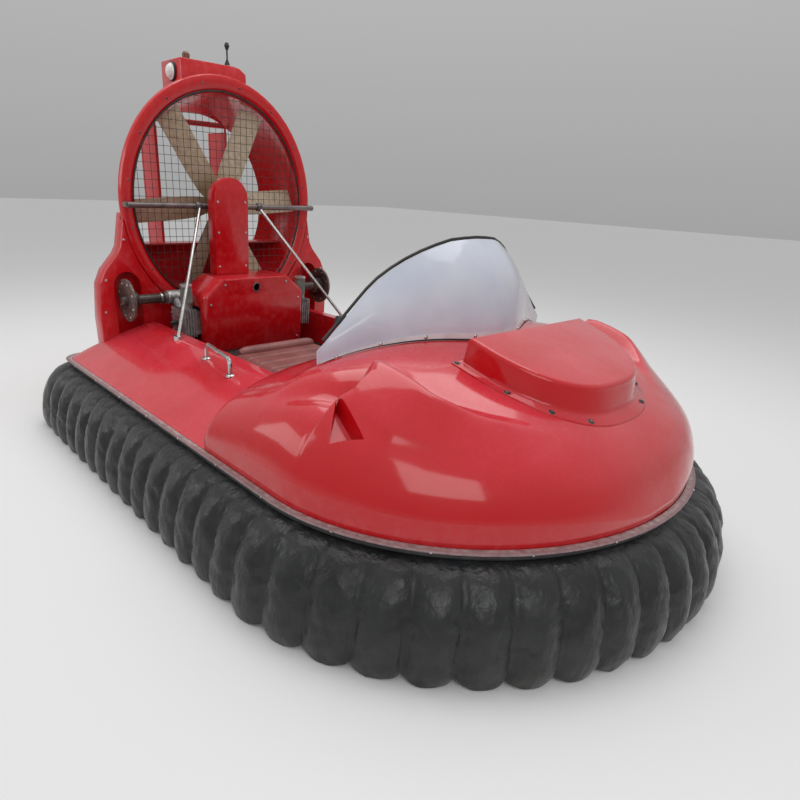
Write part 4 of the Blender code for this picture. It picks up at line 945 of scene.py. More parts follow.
front = [HULL_LENGTH - DECK_INSET - 0.002 - 0.10 * (1 - math.sin(math.pi / 2 * i / 12)) for i in range(13)]
stations = ([COWL_AFT + RIM_ROUND * (1 - math.cos(math.pi / 2 * i / 7)) for i in range(8)]
            + spaced(1.45, BEAK_AT - 0.0005, 0.018)
            + [BEAK_AT + BEAK_ROUND * (1 - math.cos(math.pi / 2 * (i + 0.3) / 7.3)) for i in range(8)]
            + spaced(1.925, 2.44, 0.018) + front)
cowl = height_body("fore_skin", stations, cowl_places, cowl_height, SEAM_Z, gel_skin, 38)
space = cavity()
mouth = slab("mouth", smooth_opening(), SEAM_Z - 0.05, 0.95)
hatch_hole = slab("hatch_hole", hatch_outline(HATCH_BASE, 0.001), 0.40, 0.95)
hollows = [recess(1), recess(-1)]
cut(cowl, space, mouth, hatch_hole, *hollows)
remove(space, mouth, hatch_hole, well_space, *hollows)
cowl.data.shade_smooth()
cowl.data.set_sharp_from_angle(angle=math.radians(38))
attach(cowl, "hull")
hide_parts("fore_cowl")
print("cowl faces", len(cowl.data.polygons))

# %% [markdown]
# ## Nose hatch
# A raised bonnet bolted to the fore deck: a thin flange, steep walls and a flat top that slants to
# the bow, its corners rolled over. Rings of the same D shape, each a little smaller, build it up.

# %% Nose hatch
HATCH_WALL = (1.990, 0.322, 2.342)
HATCH_CREST = (2.000, 0.312, 2.320)
HATCH_TOP_Z = 0.779
HATCH_SLANT = 0.30
HATCH_FLANGE = 0.004
HATCH_ROLL = 0.013
HATCH_MIDDLE = 2.13
HATCH_CAMBER = 0.004
SHOULDER = 0.006


def hatch_top(station):
    """The bonnet's top slants down toward the bow."""
    return HATCH_TOP_Z - (station - HATCH_CREST[0]) * HATCH_SLANT


def hatch_rings():
    """Rings from under the flange, up the wall and over the shoulder to the middle of the top."""
    rings = [[at(x, y, cowl_height(x, y) - 0.03) for x, y in hatch_outline(HATCH_BASE)]]
    for grow, lift in ((0.0, HATCH_FLANGE - 0.0015), (-0.0015, HATCH_FLANGE)):
        rings.append([at(x, y, cowl_height(x, y) + lift) for x, y in hatch_outline(HATCH_BASE, grow)])
    foot = hatch_outline(HATCH_WALL, SHOULDER)
    rings.append([at(x, y, cowl_height(x, y) + HATCH_FLANGE + 0.001) for x, y in foot])
    low = [at(x, y, cowl_height(x, y) + HATCH_FLANGE + 0.006) for x, y in hatch_outline(HATCH_WALL)]
    high = [at(x, y, hatch_top(x) - HATCH_ROLL) for x, y in hatch_outline(HATCH_CREST, SHOULDER)]
    for i in range(9):
        rings.append([one.lerp(two, i / 8) for one, two in zip(low, high)])
    for i in range(1, 9):
        turn = math.pi / 2 * i / 8
        grow = SHOULDER - HATCH_ROLL * (1 - math.cos(turn))
        drop = HATCH_ROLL * (1 - math.sin(turn))
        rings.append([at(x, y, hatch_top(x) - drop) for x, y in hatch_outline(HATCH_CREST, grow)])
    for share in (0.75, 0.5, 0.25, 0.08):
        ring = []
        for x, y in hatch_outline(HATCH_CREST, SHOULDER - HATCH_ROLL):
            station, aside = HATCH_MIDDLE + (x - HATCH_MIDDLE) * share, y * share
            ring.append(at(station, aside, hatch_top(station) + HATCH_CAMBER * (1 - share ** 2)))
        rings.append(ring)
    return rings


def loft(name, rings, look):
    """A closed body through rings of equal length."""
    shape = bmesh.new()
    rows = [[shape.verts.new(p) for p in ring] for ring in rings]
    for one, two in zip(rows, rows[1:]):
        for i in range(len(one)):
            j = (i + 1) % len(one)
            shape.faces.new((one[i], one[j], two[j], two[i]))
    shape.faces.new(rows[0])
    shape.faces.new(rows[-1])
    return add_piece(name, shape, look, smooth=40)


bonnet = loft("nose_bonnet", hatch_rings(), gel_skin)
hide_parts("nose_hatch")
print("bonnet faces", len(bonnet.data.polygons))

# %% [markdown]
# ## Finger skirt
# Under the rail hang sixty-odd fingers of black coated cloth, filled by the lift air. Each bulges
# between its seams, is gathered under the rail and ends in a scallop. The cloth is longer than the
# space it has, so it puckers. A formula gives the fingers, and a cloth simulation adds the puckers.

# %% Seams and profile of the skirt
SKIRT_PROFILE = [(0.002, 0.312), (0.062, 0.284), (0.112, 0.215), (0.138, 0.130), (0.148, 0.055),
                 (0.140, 0.004)]
FINGER_DEPTH = 0.026
FINGERS = {"bow": 11, "side": 15, "stern": 13}
COLUMNS = 14
ROWS = 30
HEM_Z = 0.004
stern_end = LENGTHS[1] + STERN_CORNER * math.pi / 6
side_end = LENGTHS[CORNER_STEPS + 2]


def finger_seams():
    """Distances of the seams along the plan, right round from one side of the stem to the other."""
    seams = [-stern_end + 2 * stern_end * k / FINGERS["stern"] for k in range(FINGERS["stern"])]
    seams += [stern_end + (side_end - stern_end) * k / FINGERS["side"] for k in range(FINGERS["side"])]
    seams += [side_end + (PLAN_HALF - side_end) * k / FINGERS["bow"] for k in range(FINGERS["bow"])]
    bow = [PLAN_HALF - (PLAN_HALF - side_end) * k / FINGERS["bow"] for k in range(FINGERS["bow"])]
    bow += [side_end - (side_end - stern_end) * k / FINGERS["side"] for k in range(FINGERS["side"])]
    return [(s, 1) for s in seams] + [(s, -1) for s in bow] + [(stern_end, -1)]


def profile_point(share):
    """Reach and height down the skirt's side, from the rail at 0 to the hem at 1."""
    runs = [0.0]
    for one, two in zip(SKIRT_PROFILE, SKIRT_PROFILE[1:]):
        runs.append(runs[-1] + math.dist(one, two))
    spots = [run / runs[-1] for run in runs]
    return (table([(s, p[0]) for s, p in zip(spots, SKIRT_PROFILE)], share),
            table([(s, p[1]) for s, p in zip(spots, SKIRT_PROFILE)], share))


PROFILE = [profile_point(k / ROWS) for k in range(ROWS + 1)]
print("fingers", len(finger_seams()) - 1)

# %% [markdown]
# A little noise gives the slack: sharp puckers under the rail, long ridges below them. Taking the
# distance from a middle value turns smooth noise into the sharp folds of stiff cloth.

# %% Folds and puckers
PUCKER = 0.014
SLACK = 0.006
RIDGE_FOLD = 0.007


def gather(run, drop):
    """Puckers just under the rail, and long slack folds below, in metres outward."""
    near = math.exp(-((drop - 0.12) / 0.13) ** 2)
    lean = run * 38 + 2.5 * noise.noise(Vector((run * 6, 0, 1.3))) * drop * 8
    fold = (0.5 - abs(noise.noise(Vector((lean, drop * 3.5, 3.7))))) * PUCKER * near
    slack = noise.noise(Vector((run * 14, drop * 1.8, 9.1))) * SLACK * min(drop * 4, 1)
    ridge = 0.5 - abs(noise.noise(Vector((run * 17 + drop * 5, drop * 3.0, 21.0))))
    return fold + slack + ridge * RIDGE_FOLD * min(drop * 5, 1) - SLACK


SCALLOP = 0.020
STARBOARD_RUN = 20.0


def skirt_point(distance, side, phase, k):
    """A point of the cloth: phase 0 to 1 across a finger, row k down it."""
    share = k / ROWS
    base, z = PROFILE[k]
    bulge = math.sin(math.pi * phase) ** 0.55
    hem = max(0.0, (share - 0.90) / 0.10)
    reach = base + FINGER_DEPTH * bulge * min(base / 0.12, 1.0)
    spot, normal = plan_place(distance), plan_normal(distance)
    run = distance if side > 0 else STARBOARD_RUN - distance
    reach += gather(run, share) * min(share * 12, 1.0) * (0.35 + 0.65 * bulge)
    point = spot + normal * reach
    z += SCALLOP * (1 - math.sin(math.pi * phase) ** 0.8) * hem ** 2
    return at(point.x, side * point.y, max(z, HEM_Z))


print("skirt reaches", round(max(base for base, z in PROFILE) + FINGER_DEPTH, 3), "m out")

# %% [markdown]
# The cloth is one sheet right round the craft. Its columns are marked where they are seams, because
# the seams hold still while the cloth between them moves.

# %% The cloth as one sheet
skirt_shape = bmesh.new()
seams = finger_seams()
columns, seam_columns = [], []
for (start, side), (end, next_side) in zip(seams, seams[1:]):
    if next_side != side:
        end = PLAN_HALF
    for i in range(COLUMNS):
        phase = i / COLUMNS
        distance = start + (end - start) * phase
        seam_columns.append(i == 0)
        columns.append([skirt_shape.verts.new(skirt_point(distance, side, phase, k))
                        for k in range(ROWS + 1)])
for one, two in zip(columns, columns[1:] + columns[:1]):
    for k in range(ROWS):
        skirt_shape.faces.new((one[k], one[k + 1], two[k + 1], two[k]))
print("skirt columns", len(columns), "faces", len(skirt_shape.faces))

# %% [markdown]
# The skirt's cloth has a rubbery coat: nearly black, with a soft grey shine where it bulges, a fine
# weave, and road dust toward the hem.

# %% Coated cloth
def coated_cloth(name):
    """Black coated cloth: small creases and a weave as relief, with dust toward the hem."""
    look, tree, shader = new_look(name)
    colour = tint(tree, spread(tree, speckle(tree, 0.12, 6.0), 0.0, 1.0), (0.007, 0.0075, 0.008),
                  (0.017, 0.018, 0.0195))
    height = node(tree, "ShaderNodeSeparateXYZ", Vector=metres(tree)).outputs["Z"]
    low = node(tree, "ShaderNodeMapRange", i0=height, i1=0.16, i2=0.0, i3=0.0, i4=0.35).outputs["Result"]
    dusty = times(tree, low, spread(tree, speckle(tree, 0.04, 6.0), 0.1, 1.0))
    colour = tint(tree, dusty, colour, (0.085, 0.078, 0.068))
    tree.links.new(colour, shader.inputs["Base Color"])
    tree.links.new(spread(tree, speckle(tree, 0.05, 5.0), 0.30, 0.50), shader.inputs["Roughness"])
    shader.inputs["Sheen Weight"].default_value = 0.12
    shader.inputs["Sheen Roughness"].default_value = 0.4
    weave = node(tree, "ShaderNodeTexVoronoi", Vector=metres(tree), Scale=700.0)
    relief(tree, shader, ((speckle(tree, 0.045, 3.0, (1, 1, 0.3)), 0.008),
                          (speckle(tree, 0.014, 3.0, (1, 1, 0.35)), 0.0016),
                          (weave.outputs["Distance"], 0.00006)))
    return look


cloth_look = coated_cloth("coated_cloth")
print("cloth finish", cloth_look.name)

# %% [markdown]
# A cloth simulation blows the sheet out a little between its seams and lets its spare length pucker.
# Points that move too far are drawn back, so the skirt keeps its real size.

# %% Blowing cloth up
BLOW_STEPS = 14


def capped(item, before, cap):
    """Points that a simulation moved further than the cap are drawn back to it."""
    for vertex, start in zip(item.data.vertices, before):
        move = vertex.co - start
        if move.length > cap:
            vertex.co = start + move * (cap / move.length)


def blown(item, cap, look, **settings):
    """Cloth under pressure for a few steps, then worked into the mesh."""
    before = [v.co.copy() for v in item.data.vertices]
    step = item.modifiers.new("blown", "CLOTH")
    for name, value in settings.items():
        setattr(step.settings, name, value)
    step.settings.quality = 4
    step.settings.use_pressure = True
    step.settings.effector_weights.gravity = 0
    step.collision_settings.use_collision = False
    for number in range(1, BLOW_STEPS + 1):
        scene.frame_set(number)
    bake(item)
    capped(item, before, cap)
    scene.frame_set(1)
    item.data.materials.clear()
    item.data.materials.append(look)
    item.data.shade_smooth()


print("steps of each simulation", BLOW_STEPS)

# %% [markdown]
# The skirt is held under the rail and at every seam. It hangs in gathers from the hull's edge.

# %% Finger skirt
SKIRT_CAP = 0.014
skirt = add_piece("finger_skirt", skirt_shape, cloth_look)
held = skirt.vertex_groups.new(name="held")
for c, is_seam in enumerate(seam_columns):
    for k in range(ROWS + 1):
        if k < 2 or is_seam:
            held.add([c * (ROWS + 1) + k], 1.0, "REPLACE")
blown(skirt, SKIRT_CAP, cloth_look, vertex_group_mass="held", pin_stiffness=1.0, tension_stiffness=25,
      compression_stiffness=25, bending_stiffness=0.5, shrink_min=-0.022, uniform_pressure_force=2.5)
for vertex in skirt.data.vertices:
    vertex.co.z = max(vertex.co.z, HEM_Z)
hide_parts("skirt_stern", "skirt_left", "skirt_right", "skirt_bow_left", "skirt_bow_right")

# %% [markdown]
# ## Windscreen
# A sheet of milky plastic is bent round the cockpit's front and held at its foot by a pale band; a black
# strip of painted shade lies under it. The same foot and free edge lines as the solid's give a fine, evenly
# thick sheet.

# %% Lines of the windscreen
SCREEN_HALF = 0.620
SCREEN_FOOT = [(0.0, 1.900), (0.10, 1.882), (0.22, 1.828), (0.35, 1.765), (0.50, 1.700), (0.62, 1.660)]
SCREEN_EDGE_AT = [(0.0, 1.736), (0.10, 1.726), (0.20, 1.704), (0.30, 1.675), (0.40, 1.656), (0.62, 1.657)]
SCREEN_EDGE_Z = [(0.0, 1.018), (0.10, 1.013), (0.20, 0.987), (0.30, 0.943), (0.40, 0.881), (0.50, 0.799),
                 (0.62, 0.700)]
SCREEN_BOW = 0.030
FOOT_LIFT = 0.004
LEAST_BAND = 0.016
SHEET_THICK = 0.004


def screen_point(y, rise):
    """Point of the sheet: rise 0 is its foot, 1 its free edge."""
    near = abs(y)
    station = table(SCREEN_FOOT, near)
    foot = Vector((station, y, skin_height(station, y) + FOOT_LIFT))
    edge = Vector((table(SCREEN_EDGE_AT, near), y, max(table(SCREEN_EDGE_Z, near), foot.z + LEAST_BAND)))
    bow = SCREEN_BOW * math.sin(math.pi * rise) * (1 - (y / SCREEN_HALF) ** 2)
    point = foot.lerp(edge, rise)
    return at(point.x + bow, point.y, point.z + bow)


def screen_normal(y, rise):
    """Outward direction of the sheet, ahead and up."""
    across = screen_point(y + 0.004, rise) - screen_point(y - 0.004, rise)
    up = screen_point(y, min(rise + 0.02, 1.0)) - screen_point(y, max(rise - 0.02, 0.0))
    out = across.cross(up).normalized()
    return out if out.x > 0 else -out


print("top of the screen", [round(v, 3) for v in screen_point(0.0, 1.0)])

# %% [markdown]
# The sheet and the two strips at its foot are all bands between two rises, of some thickness and lift.
# One function makes them, with faces on all sides.

# %% A band on the windscreen
def screen_strip(name, low, high, lift, thick, look, reach=0.985, steps=96):
    """A strip on the sheet between two rises, lifted off it outward."""
    shape = bmesh.new()
    rows = []
    for i in range(steps + 1):
        y = SCREEN_HALF * reach * math.sin(math.pi / 2 * (2 * i / steps - 1))
        rises = spaced(low, high, (high - low) / (24 if high > 0.5 else 3))
        front = [screen_point(y, r) + screen_normal(y, r) * (lift + thick) for r in rises]
        back = [screen_point(y, r) + screen_normal(y, r) * lift for r in reversed(rises)]
        rows.append([shape.verts.new(p) for p in front + back])
    for one, two in zip(rows, rows[1:]):
        for k in range(len(one)):
            j = (k + 1) % len(one)
            shape.faces.new((one[k], one[j], two[j], two[k]))
    for row in (rows[0], rows[-1]):
        shape.faces.new(row)
    return add_piece(name, shape, look, smooth=45)


print("screen faces ahead by", round(screen_normal(0.0, 0.5).x, 3))

# %% [markdown]
# The plastic lets through a little light. Its cloudiness varies slowly, and fine scratches from wiping
# run up and down.

# %% Milky plastic
def milky_sheet(name):
    """Milky plastic: it lets a little light through, with faint cloud and fine scratches."""
    look, tree, shader = new_look(name)
    cloud = speckle(tree, 0.25, 3.0)
    tree.links.new(tint(tree, spread(tree, cloud, 0.0, 1.0), (0.60, 0.64, 0.76), (0.70, 0.73, 0.82)),
                   shader.inputs["Base Color"])
    tree.links.new(spread(tree, speckle(tree, 0.05, 5.0), 0.06, 0.20), shader.inputs["Roughness"])
    tree.links.new(spread(tree, speckle(tree, 0.20, 3.0), 0.80, 0.92), shader.inputs["Alpha"])
    shader.inputs["Coat Weight"].default_value = 0.5
    shader.inputs["Coat Roughness"].default_value = 0.06
    relief(tree, shader, ((speckle(tree, 0.20, 2.0), 0.004),
                          (speckle(tree, 0.003, 2.0, (1, 1, 0.1)), 0.00003)))
    return look


sheet_look = milky_sheet("milky_sheet")
white_band = plain("white_band", (0.78, 0.78, 0.80), (0.66, 0.66, 0.68), (0.25, 0.45), 0.003, 0.0001,
                   dust=0.2)
print("screen finishes", sheet_look.name, white_band.name)

# %% [markdown]
# The sheet stands for the plain one. A pale band and a black strip of painted shade close its foot against
# the cowl.

# %% Windscreen sheet and its strips
CLEAR = 0.0004
screen = screen_strip("screen_sheet", 0.0, 1.0, -SHEET_THICK / 2, SHEET_THICK, sheet_look, 1.0)
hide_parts("windscreen")
screen_strip("screen_band", 0.004, 0.052, SHEET_THICK / 2 + CLEAR, 0.0022, white_band)
# Painted shade: a black strip along the screen's foot stands for the shadow where it meets the cowl
screen_strip("screen_foot_shade_strip", -0.012, 0.002, SHEET_THICK / 2 + CLEAR, 0.003, rubber, 0.97)
print("screen faces", len(screen.data.polygons))

# %% [markdown]
# ## Fasteners
# Screw heads with washers repeat all over the craft. One helper makes a whole row of them as a
# single mesh: each head is a small domed ring standing on the surface along its own direction.

# %% Turned sections, and a row of fasteners as one mesh
def turn_into(shape, profile, centre, aim, sides):
    """A section of (along, radius) points turned about an axis, added to a mesh."""
    frame_turn = Vector(aim).to_track_quat("Z", "Y").to_matrix()
    rows = []
    for along, radius in profile:
        if radius < 1e-6:
            rows.append([shape.verts.new(Vector(centre) + frame_turn @ Vector((0, 0, along)))])
            continue
        rows.append([shape.verts.new(Vector(centre) + frame_turn @ Vector((
            radius * math.cos(2 * math.pi * i / sides), radius * math.sin(2 * math.pi * i / sides), along)))
            for i in range(sides)])
    pairs = list(zip(rows, rows[1:]))
    if len(rows[0]) > 1 and len(rows[-1]) > 1:
        pairs.append((rows[-1], rows[0]))
    for one, two in pairs:
        for i in range(sides):
            j = (i + 1) % sides
            ring = [one[i % len(one)], one[j % len(one)], two[j % len(two)], two[i % len(two)]]
            ring = [v for k, v in enumerate(ring) if v not in ring[:k]]
            shape.faces.new(ring)


def turned(name, profile, centre, aim, look, sides=48, body="hull"):
    """A turned section as a piece of its own."""
    shape = bmesh.new()
    turn_into(shape, profile, centre, aim, sides)
    return add_piece(name, shape, look, body=body, smooth=40)


HEAD_SIDES = 12


def fasteners(name, spots, radius, look, body="hull", washer=1.5):
    """Domed heads on washers at (place, outward direction) spots."""
    profile = [(-0.002, 0.0), (-0.002, radius * washer), (radius * 0.18, radius * washer),
               (radius * 0.24, radius * (washer - 0.12)), (radius * 0.24, radius),
               (radius * 0.62, radius * 0.92), (radius * 0.88, radius * 0.55),
               (radius * 0.90, radius * 0.30),
               (radius * 0.62, radius * 0.26), (radius * 0.62, 0.0)]
    shape = bmesh.new()
    for place, aim in spots:
        turn_into(shape, profile, place, aim, HEAD_SIDES)
    return add_piece(name, shape, look, body=body, smooth=35)


def skin_normal(station, y, height):
    """Upward direction square to a surface given by its height."""
    step = 0.004
    ahead = height(station + step, y) - height(station - step, y)
    aside = height(station, y + step) - height(station, y - step)
    return Vector((-ahead, -aside, 2 * step)).normalized()


print("sides of each head", HEAD_SIDES)

# %% [markdown]
# Sixteen screws hold the lip, ten the bonnet and eight the windscreen. On the curved skin each head
# stands square to the surface.

# %% Fasteners of lip, bonnet and windscreen
AXIS_Z = 1.035
LIP_FRONT = 0.108
LIP_BOLT_R = 0.531
LIP_SCREWS = 16
lip_spots = []
for k in range(LIP_SCREWS):
    turn = 2 * math.pi * (k + 0.5) / LIP_SCREWS
    across, up = LIP_BOLT_R * math.cos(turn), LIP_BOLT_R * math.sin(turn)
    lip_spots.append((at(LIP_FRONT - 0.0045, across, AXIS_Z + up), (1, 0, 0)))
fasteners("lip_screws", lip_spots, 0.0048, black_metal)

outline = hatch_outline(HATCH_BASE, -0.012)
hatch_spots = [outline[k] for k in (0, 6, 12, 18, 30, 36, 42, 48)]
hatch_spots += [(HATCH_BASE[0] + 0.012, y) for y in (-0.18, 0.18)]
fasteners("hatch_screws", [(at(x, y, cowl_height(x, y) + HATCH_FLANGE), skin_normal(x, y, cowl_height))
                           for x, y in hatch_spots], 0.0055, black_metal, washer=1.9)
screen_spots = [(screen_point(y, 0.026) + screen_normal(y, 0.026) * 0.0046, screen_normal(y, 0.026))
                for y in (-0.56, -0.42, -0.28, -0.12, 0.12, 0.28, 0.42, 0.56)]
fasteners("screen_screws", screen_spots, 0.0045, steel)
print("screws", len(lip_spots), len(hatch_spots), len(screen_spots))

# %% [markdown]
# The engine cover, the belt guard and the pedestals have upright front faces, so their heads all
# point ahead. One list of names, stations and places does for the three.

# %% Fasteners of the upright faces
COVER_FRONT = 0.400
GUARD_FRONT = 0.262
GUARD_SIDE = -0.055
PEDESTAL_FRONT = 0.100
SIDES = (-1, 1)
face_screws = {
    "cover_screws": (COVER_FRONT, 0.0045, ((-0.275, 0.39), (0.275, 0.39), (-0.275, 0.60), (0.275, 0.60),
                                           (-0.19, 0.69), (0.19, 0.69))),
    "belt_guard_screws": (GUARD_FRONT, 0.004, [(GUARD_SIDE + side * 0.080, z) for side in SIDES
                                               for z in (0.76, 0.92, 1.06)]),
    "pedestal_screws": (PEDESTAL_FRONT, 0.0045, [(side * y, z) for side in SIDES for y, z in (
        (0.700, 0.55), (0.680, 0.70), (0.570, 0.88), (0.20, 0.52), (0.35, 0.52))]),
}
for name, (station, radius, places) in face_screws.items():
    fasteners(name, [(at(station, y, z), (1, 0, 0)) for y, z in places], radius, steel)
print("rows of fasteners", 3 + len(face_screws))

# %% [markdown]
# ## Duct and guard
# Wires a little apart keep fingers out of the blades. They run both ways inside a ring, with a hole
# in the middle for the shaft.

# %% Duct finish and the wire guard
dress("duct", gel_upright)
GUARD_AT = 0.0965
GUARD_R = 0.5030
GUARD_PITCH = 0.036
GUARD_EYE = 0.046
WIRE_R = 0.0012


def rod_into(shape, one, two):
    """A straight wire between two points."""
    length = (two - one).length
    turn_into(shape, [(0, 0.0), (0, WIRE_R), (length, WIRE_R), (length, 0.0)], one, two - one, 6)


guard_shape = bmesh.new()
count = int(GUARD_R / GUARD_PITCH)
for k in range(-count, count + 1):
    off = k * GUARD_PITCH
    reach = math.sqrt(max((GUARD_R - 0.008) ** 2 - off ** 2, 0.0))
    inner = math.sqrt(max((GUARD_EYE - 0.002) ** 2 - off ** 2, 0.0))
    for low, high in (((-reach, -inner), (inner, reach)) if inner else ((-reach, reach),)):
        ahead, behind = GUARD_AT + WIRE_R, GUARD_AT - WIRE_R
        rod_into(guard_shape, at(ahead, off, AXIS_Z + low), at(ahead, off, AXIS_Z + high))
        rod_into(guard_shape, at(behind, low, AXIS_Z + off), at(behind, high, AXIS_Z + off))
for radius, thick in ((GUARD_R - 0.0045, 0.0042), (GUARD_EYE, 0.003)):
    ring = [(thick * math.sin(a), radius + thick * math.cos(a)) for a in
            (2 * math.pi * i / 10 for i in range(10))]
    turn_into(guard_shape, ring, at(GUARD_AT, 0, AXIS_Z), (1, 0, 0), 96)
guard = add_piece("wire_guard", guard_shape, wire_look, smooth=50)
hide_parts("fan_guard")
print("guard faces", len(guard.data.polygons))

# %% [markdown]
# ## Bench cushion
# The bench pad is foam under reddish brown vinyl with a roll along its back. A slightly small block
# is blown up by a cloth simulation, as foam fills its cover, and piping is laid round its edge.

# %% Vinyl
def vinyl_look(name, one, two):
    """Soft plastic cover with a leather-like grain, between two colours."""
    look, tree, shader = new_look(name)
    tree.links.new(tint(tree, spread(tree, speckle(tree, 0.10, 4.0), 0, 1), one, two),
                   shader.inputs["Base Color"])
    tree.links.new(spread(tree, speckle(tree, 0.03, 4.0), 0.32, 0.50), shader.inputs["Roughness"])
    grain = node(tree, "ShaderNodeTexVoronoi", Vector=metres(tree), Scale=420.0)
    relief(tree, shader, ((speckle(tree, 0.05, 3.0), 0.003), (grain.outputs["Distance"], 0.00025)))
    return look


vinyl = vinyl_look("bench_vinyl", (0.30, 0.105, 0.095), (0.22, 0.075, 0.070))
piping_look = vinyl_look("piping_vinyl", (0.52, 0.33, 0.30), (0.40, 0.24, 0.22))
print("vinyls", vinyl.name, piping_look.name)

# %% [markdown]
# The block is meshed evenly, blown up, and then pressed in along three sewn channels. It rests flat on
# the bench below.

# %% Cushion
BENCH = ((0.568, -0.262, 0.3225), (0.952, 0.262, 0.388))
PAD_ROUND = 0.020
PAD_MESH = 0.006
PAD_CAP = 0.008
CUSHION_TOP = 0.3985
CHANNELS = (0.690, 0.790, 0.880)
CHANNEL_DEPTH = 0.006
CHANNEL_HALF = 0.007
pad_low, pad_high = at(*BENCH[0]), at(*BENCH[1])
cushion_shape = bmesh.new()
bmesh.ops.create_cube(cushion_shape, size=1.0)
bmesh.ops.scale(cushion_shape, vec=pad_high - pad_low, verts=cushion_shape.verts)
bmesh.ops.translate(cushion_shape, vec=(pad_low + pad_high) / 2, verts=cushion_shape.verts)
bmesh.ops.bevel(cushion_shape, geom=cushion_shape.edges, offset=PAD_ROUND, segments=4, profile=0.5,
                affect="EDGES")
cushion = add_piece("bench_cushion", cushion_shape, vinyl, body=None)
fine = cushion.modifiers.new("fine", "REMESH")
fine.mode = "VOXEL"
fine.voxel_size = PAD_MESH
bake(cushion)
blown(cushion, PAD_CAP, vinyl, uniform_pressure_force=4)
for vertex in cushion.data.vertices:
    for station in CHANNELS:
        off = (vertex.co.x - at(station).x) / CHANNEL_HALF
        if vertex.co.z > pad_low.z + 0.03:
            vertex.co.z -= CHANNEL_DEPTH * math.exp(-off * off)
    vertex.co.z = min(max(vertex.co.z, pad_low.z), CUSHION_TOP)
cushion.data.shade_smooth()
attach(cushion, "hull")
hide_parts("seat_cushion")
print("cushion faces", len(cushion.data.polygons))

# %% [markdown]
# The roll and the piping are round sections drawn along a line. Levers and other bent rods later use
# the same helper.

# %% Roll and piping
def sweep(name, points, radius, look, body="hull", sides=10, closed=False):
    """A round section drawn along a line of points, its radius a number or a function of the share run."""
    shape = bmesh.new()
    rows = []
    across = None
    count = len(points)
    for i, point in enumerate(points):
        before = points[i - 1] if i or closed else point
        after = points[(i + 1) % count] if i < count - 1 or closed else point
        along = (after - before).normalized()
        if across is None:
            across = along.orthogonal().normalized()
        across = (across - along * across.dot(along)).normalized()
        up = along.cross(across)
        wide = radius(i / (count - 1)) if callable(radius) else radius
        rows.append([shape.verts.new(point + (across * math.cos(a) + up * math.sin(a)) * wide)
                     for a in (2 * math.pi * k / sides for k in range(sides))])
    pairs = list(zip(rows, rows[1:]))
    if closed:
        pairs.append((rows[-1], rows[0]))
    else:
        shape.faces.new(rows[0])
        shape.faces.new(rows[-1])
    for one, two in pairs:
        for k in range(sides):
            j = (k + 1) % sides
            shape.faces.new((one[k], one[j], two[j], two[k]))
    return add_piece(name, shape, look, body=body, smooth=50)


ROLL_AT = 0.592
ROLL_R = 0.0285
ROLL_HALF = 0.235
PIPING_Z = 0.374
PIPING_CORNER = 0.03


def roll_radius(share):
    """The roll's radius, drawn in at its two ends."""
    return ROLL_R * (1 - abs(2 * share - 1) ** 14 * 0.55)


roll_points = [at(ROLL_AT, y, CUSHION_TOP) for y in spaced(-ROLL_HALF, ROLL_HALF, 0.01)]
roll = sweep("cushion_roll", roll_points, roll_radius, vinyl, sides=28)
corners = [Vector(p) for p in ((0.590, -0.262), (0.952, -0.262), (0.952, 0.262), (0.590, 0.262))]
loop = []
for i, corner in enumerate(corners):
    before, after = corners[i - 1], corners[(i + 1) % 4]
    one, two = (before - corner).normalized() * PIPING_CORNER, (after - corner).normalized() * PIPING_CORNER
    loop += [corner + one * (1 - t) ** 2 + two * t ** 2 for t in (0, 0.25, 0.5, 0.75, 1)]
sweep("cushion_piping", [at(p.x, p.y, PIPING_Z) for p in loop], 0.0032, piping_look, sides=8, closed=True)
print("piping", len(loop), "points, roll", len(roll_points), "points")

# %% [markdown]
# ## Steering bar and cockpit
# The bar carries ribbed rubber grips, a thumb lever for the throttle and a rubber boot where the
# column meets the floor. A ribbed mat keeps feet from slipping on the wet floor.

# %% Grips and levers
COLUMN_FOOT = (1.760, 0.172)
COLUMN_HEAD = (1.540, 0.600)
GRIP_HALF = 0.335
BAR_RISE = 0.085
foot, head = at(COLUMN_FOOT[0], 0, COLUMN_FOOT[1]), at(COLUMN_HEAD[0], 0, COLUMN_HEAD[1])
lean = (head - foot).normalized()
crest = head + lean * BAR_RISE
back = Vector((-1.0, 0.0, 0.35)).normalized()
for side, hand in ((-1, "right"), (1, "left")):
    outer = crest + Vector((0, side * GRIP_HALF, 0)) + back * 0.06 + lean * 0.03
    inner = crest + Vector((0, side * 0.17, 0)) + back * 0.02 + lean * 0.03
    aim = (outer - inner).normalized()
    start = outer - aim * 0.117
    section = [(0.0, 0.0), (0.0, 0.0215), (0.004, 0.0215), (0.005, 0.0182)]
    for k in range(12):
        place = 0.008 + 0.0087 * k
        section += [(place, 0.0182), (place + 0.002, 0.0196), (place + 0.006, 0.0196),
                    (place + 0.008, 0.0182)]
    section += [(0.1235, 0.0195), (0.1255, 0.0150), (0.1262, 0.0)]
    turned("grip_" + hand, section, start, aim, rubber, 24, "steering_bar")
    band_at = outer - aim * 0.135
    turned("lever_clamp_" + hand, [(0, 0.0116), (0, 0.017), (0.012, 0.017), (0.012, 0.0116)], band_at, aim,
           black_metal, 24, "steering_bar")
    lever = [band_at + aim * 0.006 + Vector((0.016, 0, -0.006))]
    for t in (0.2, 0.4, 0.6, 0.8, 1.0):
        bend = Vector((0.030 * math.sin(math.pi / 2 * t), 0, -0.010 * t))
        lever.append(lever[0] + aim * 0.085 * t + bend)
    sweep("lever_" + hand, lever, 0.0038, steel, "steering_bar", 10)
print("grips", 2 * GRIP_HALF, "m apart")

# %% [markdown]
# A pleated boot keeps water out where the column meets the floor. The mat is a thin sole with ribs
# across it, all joined in one mesh.

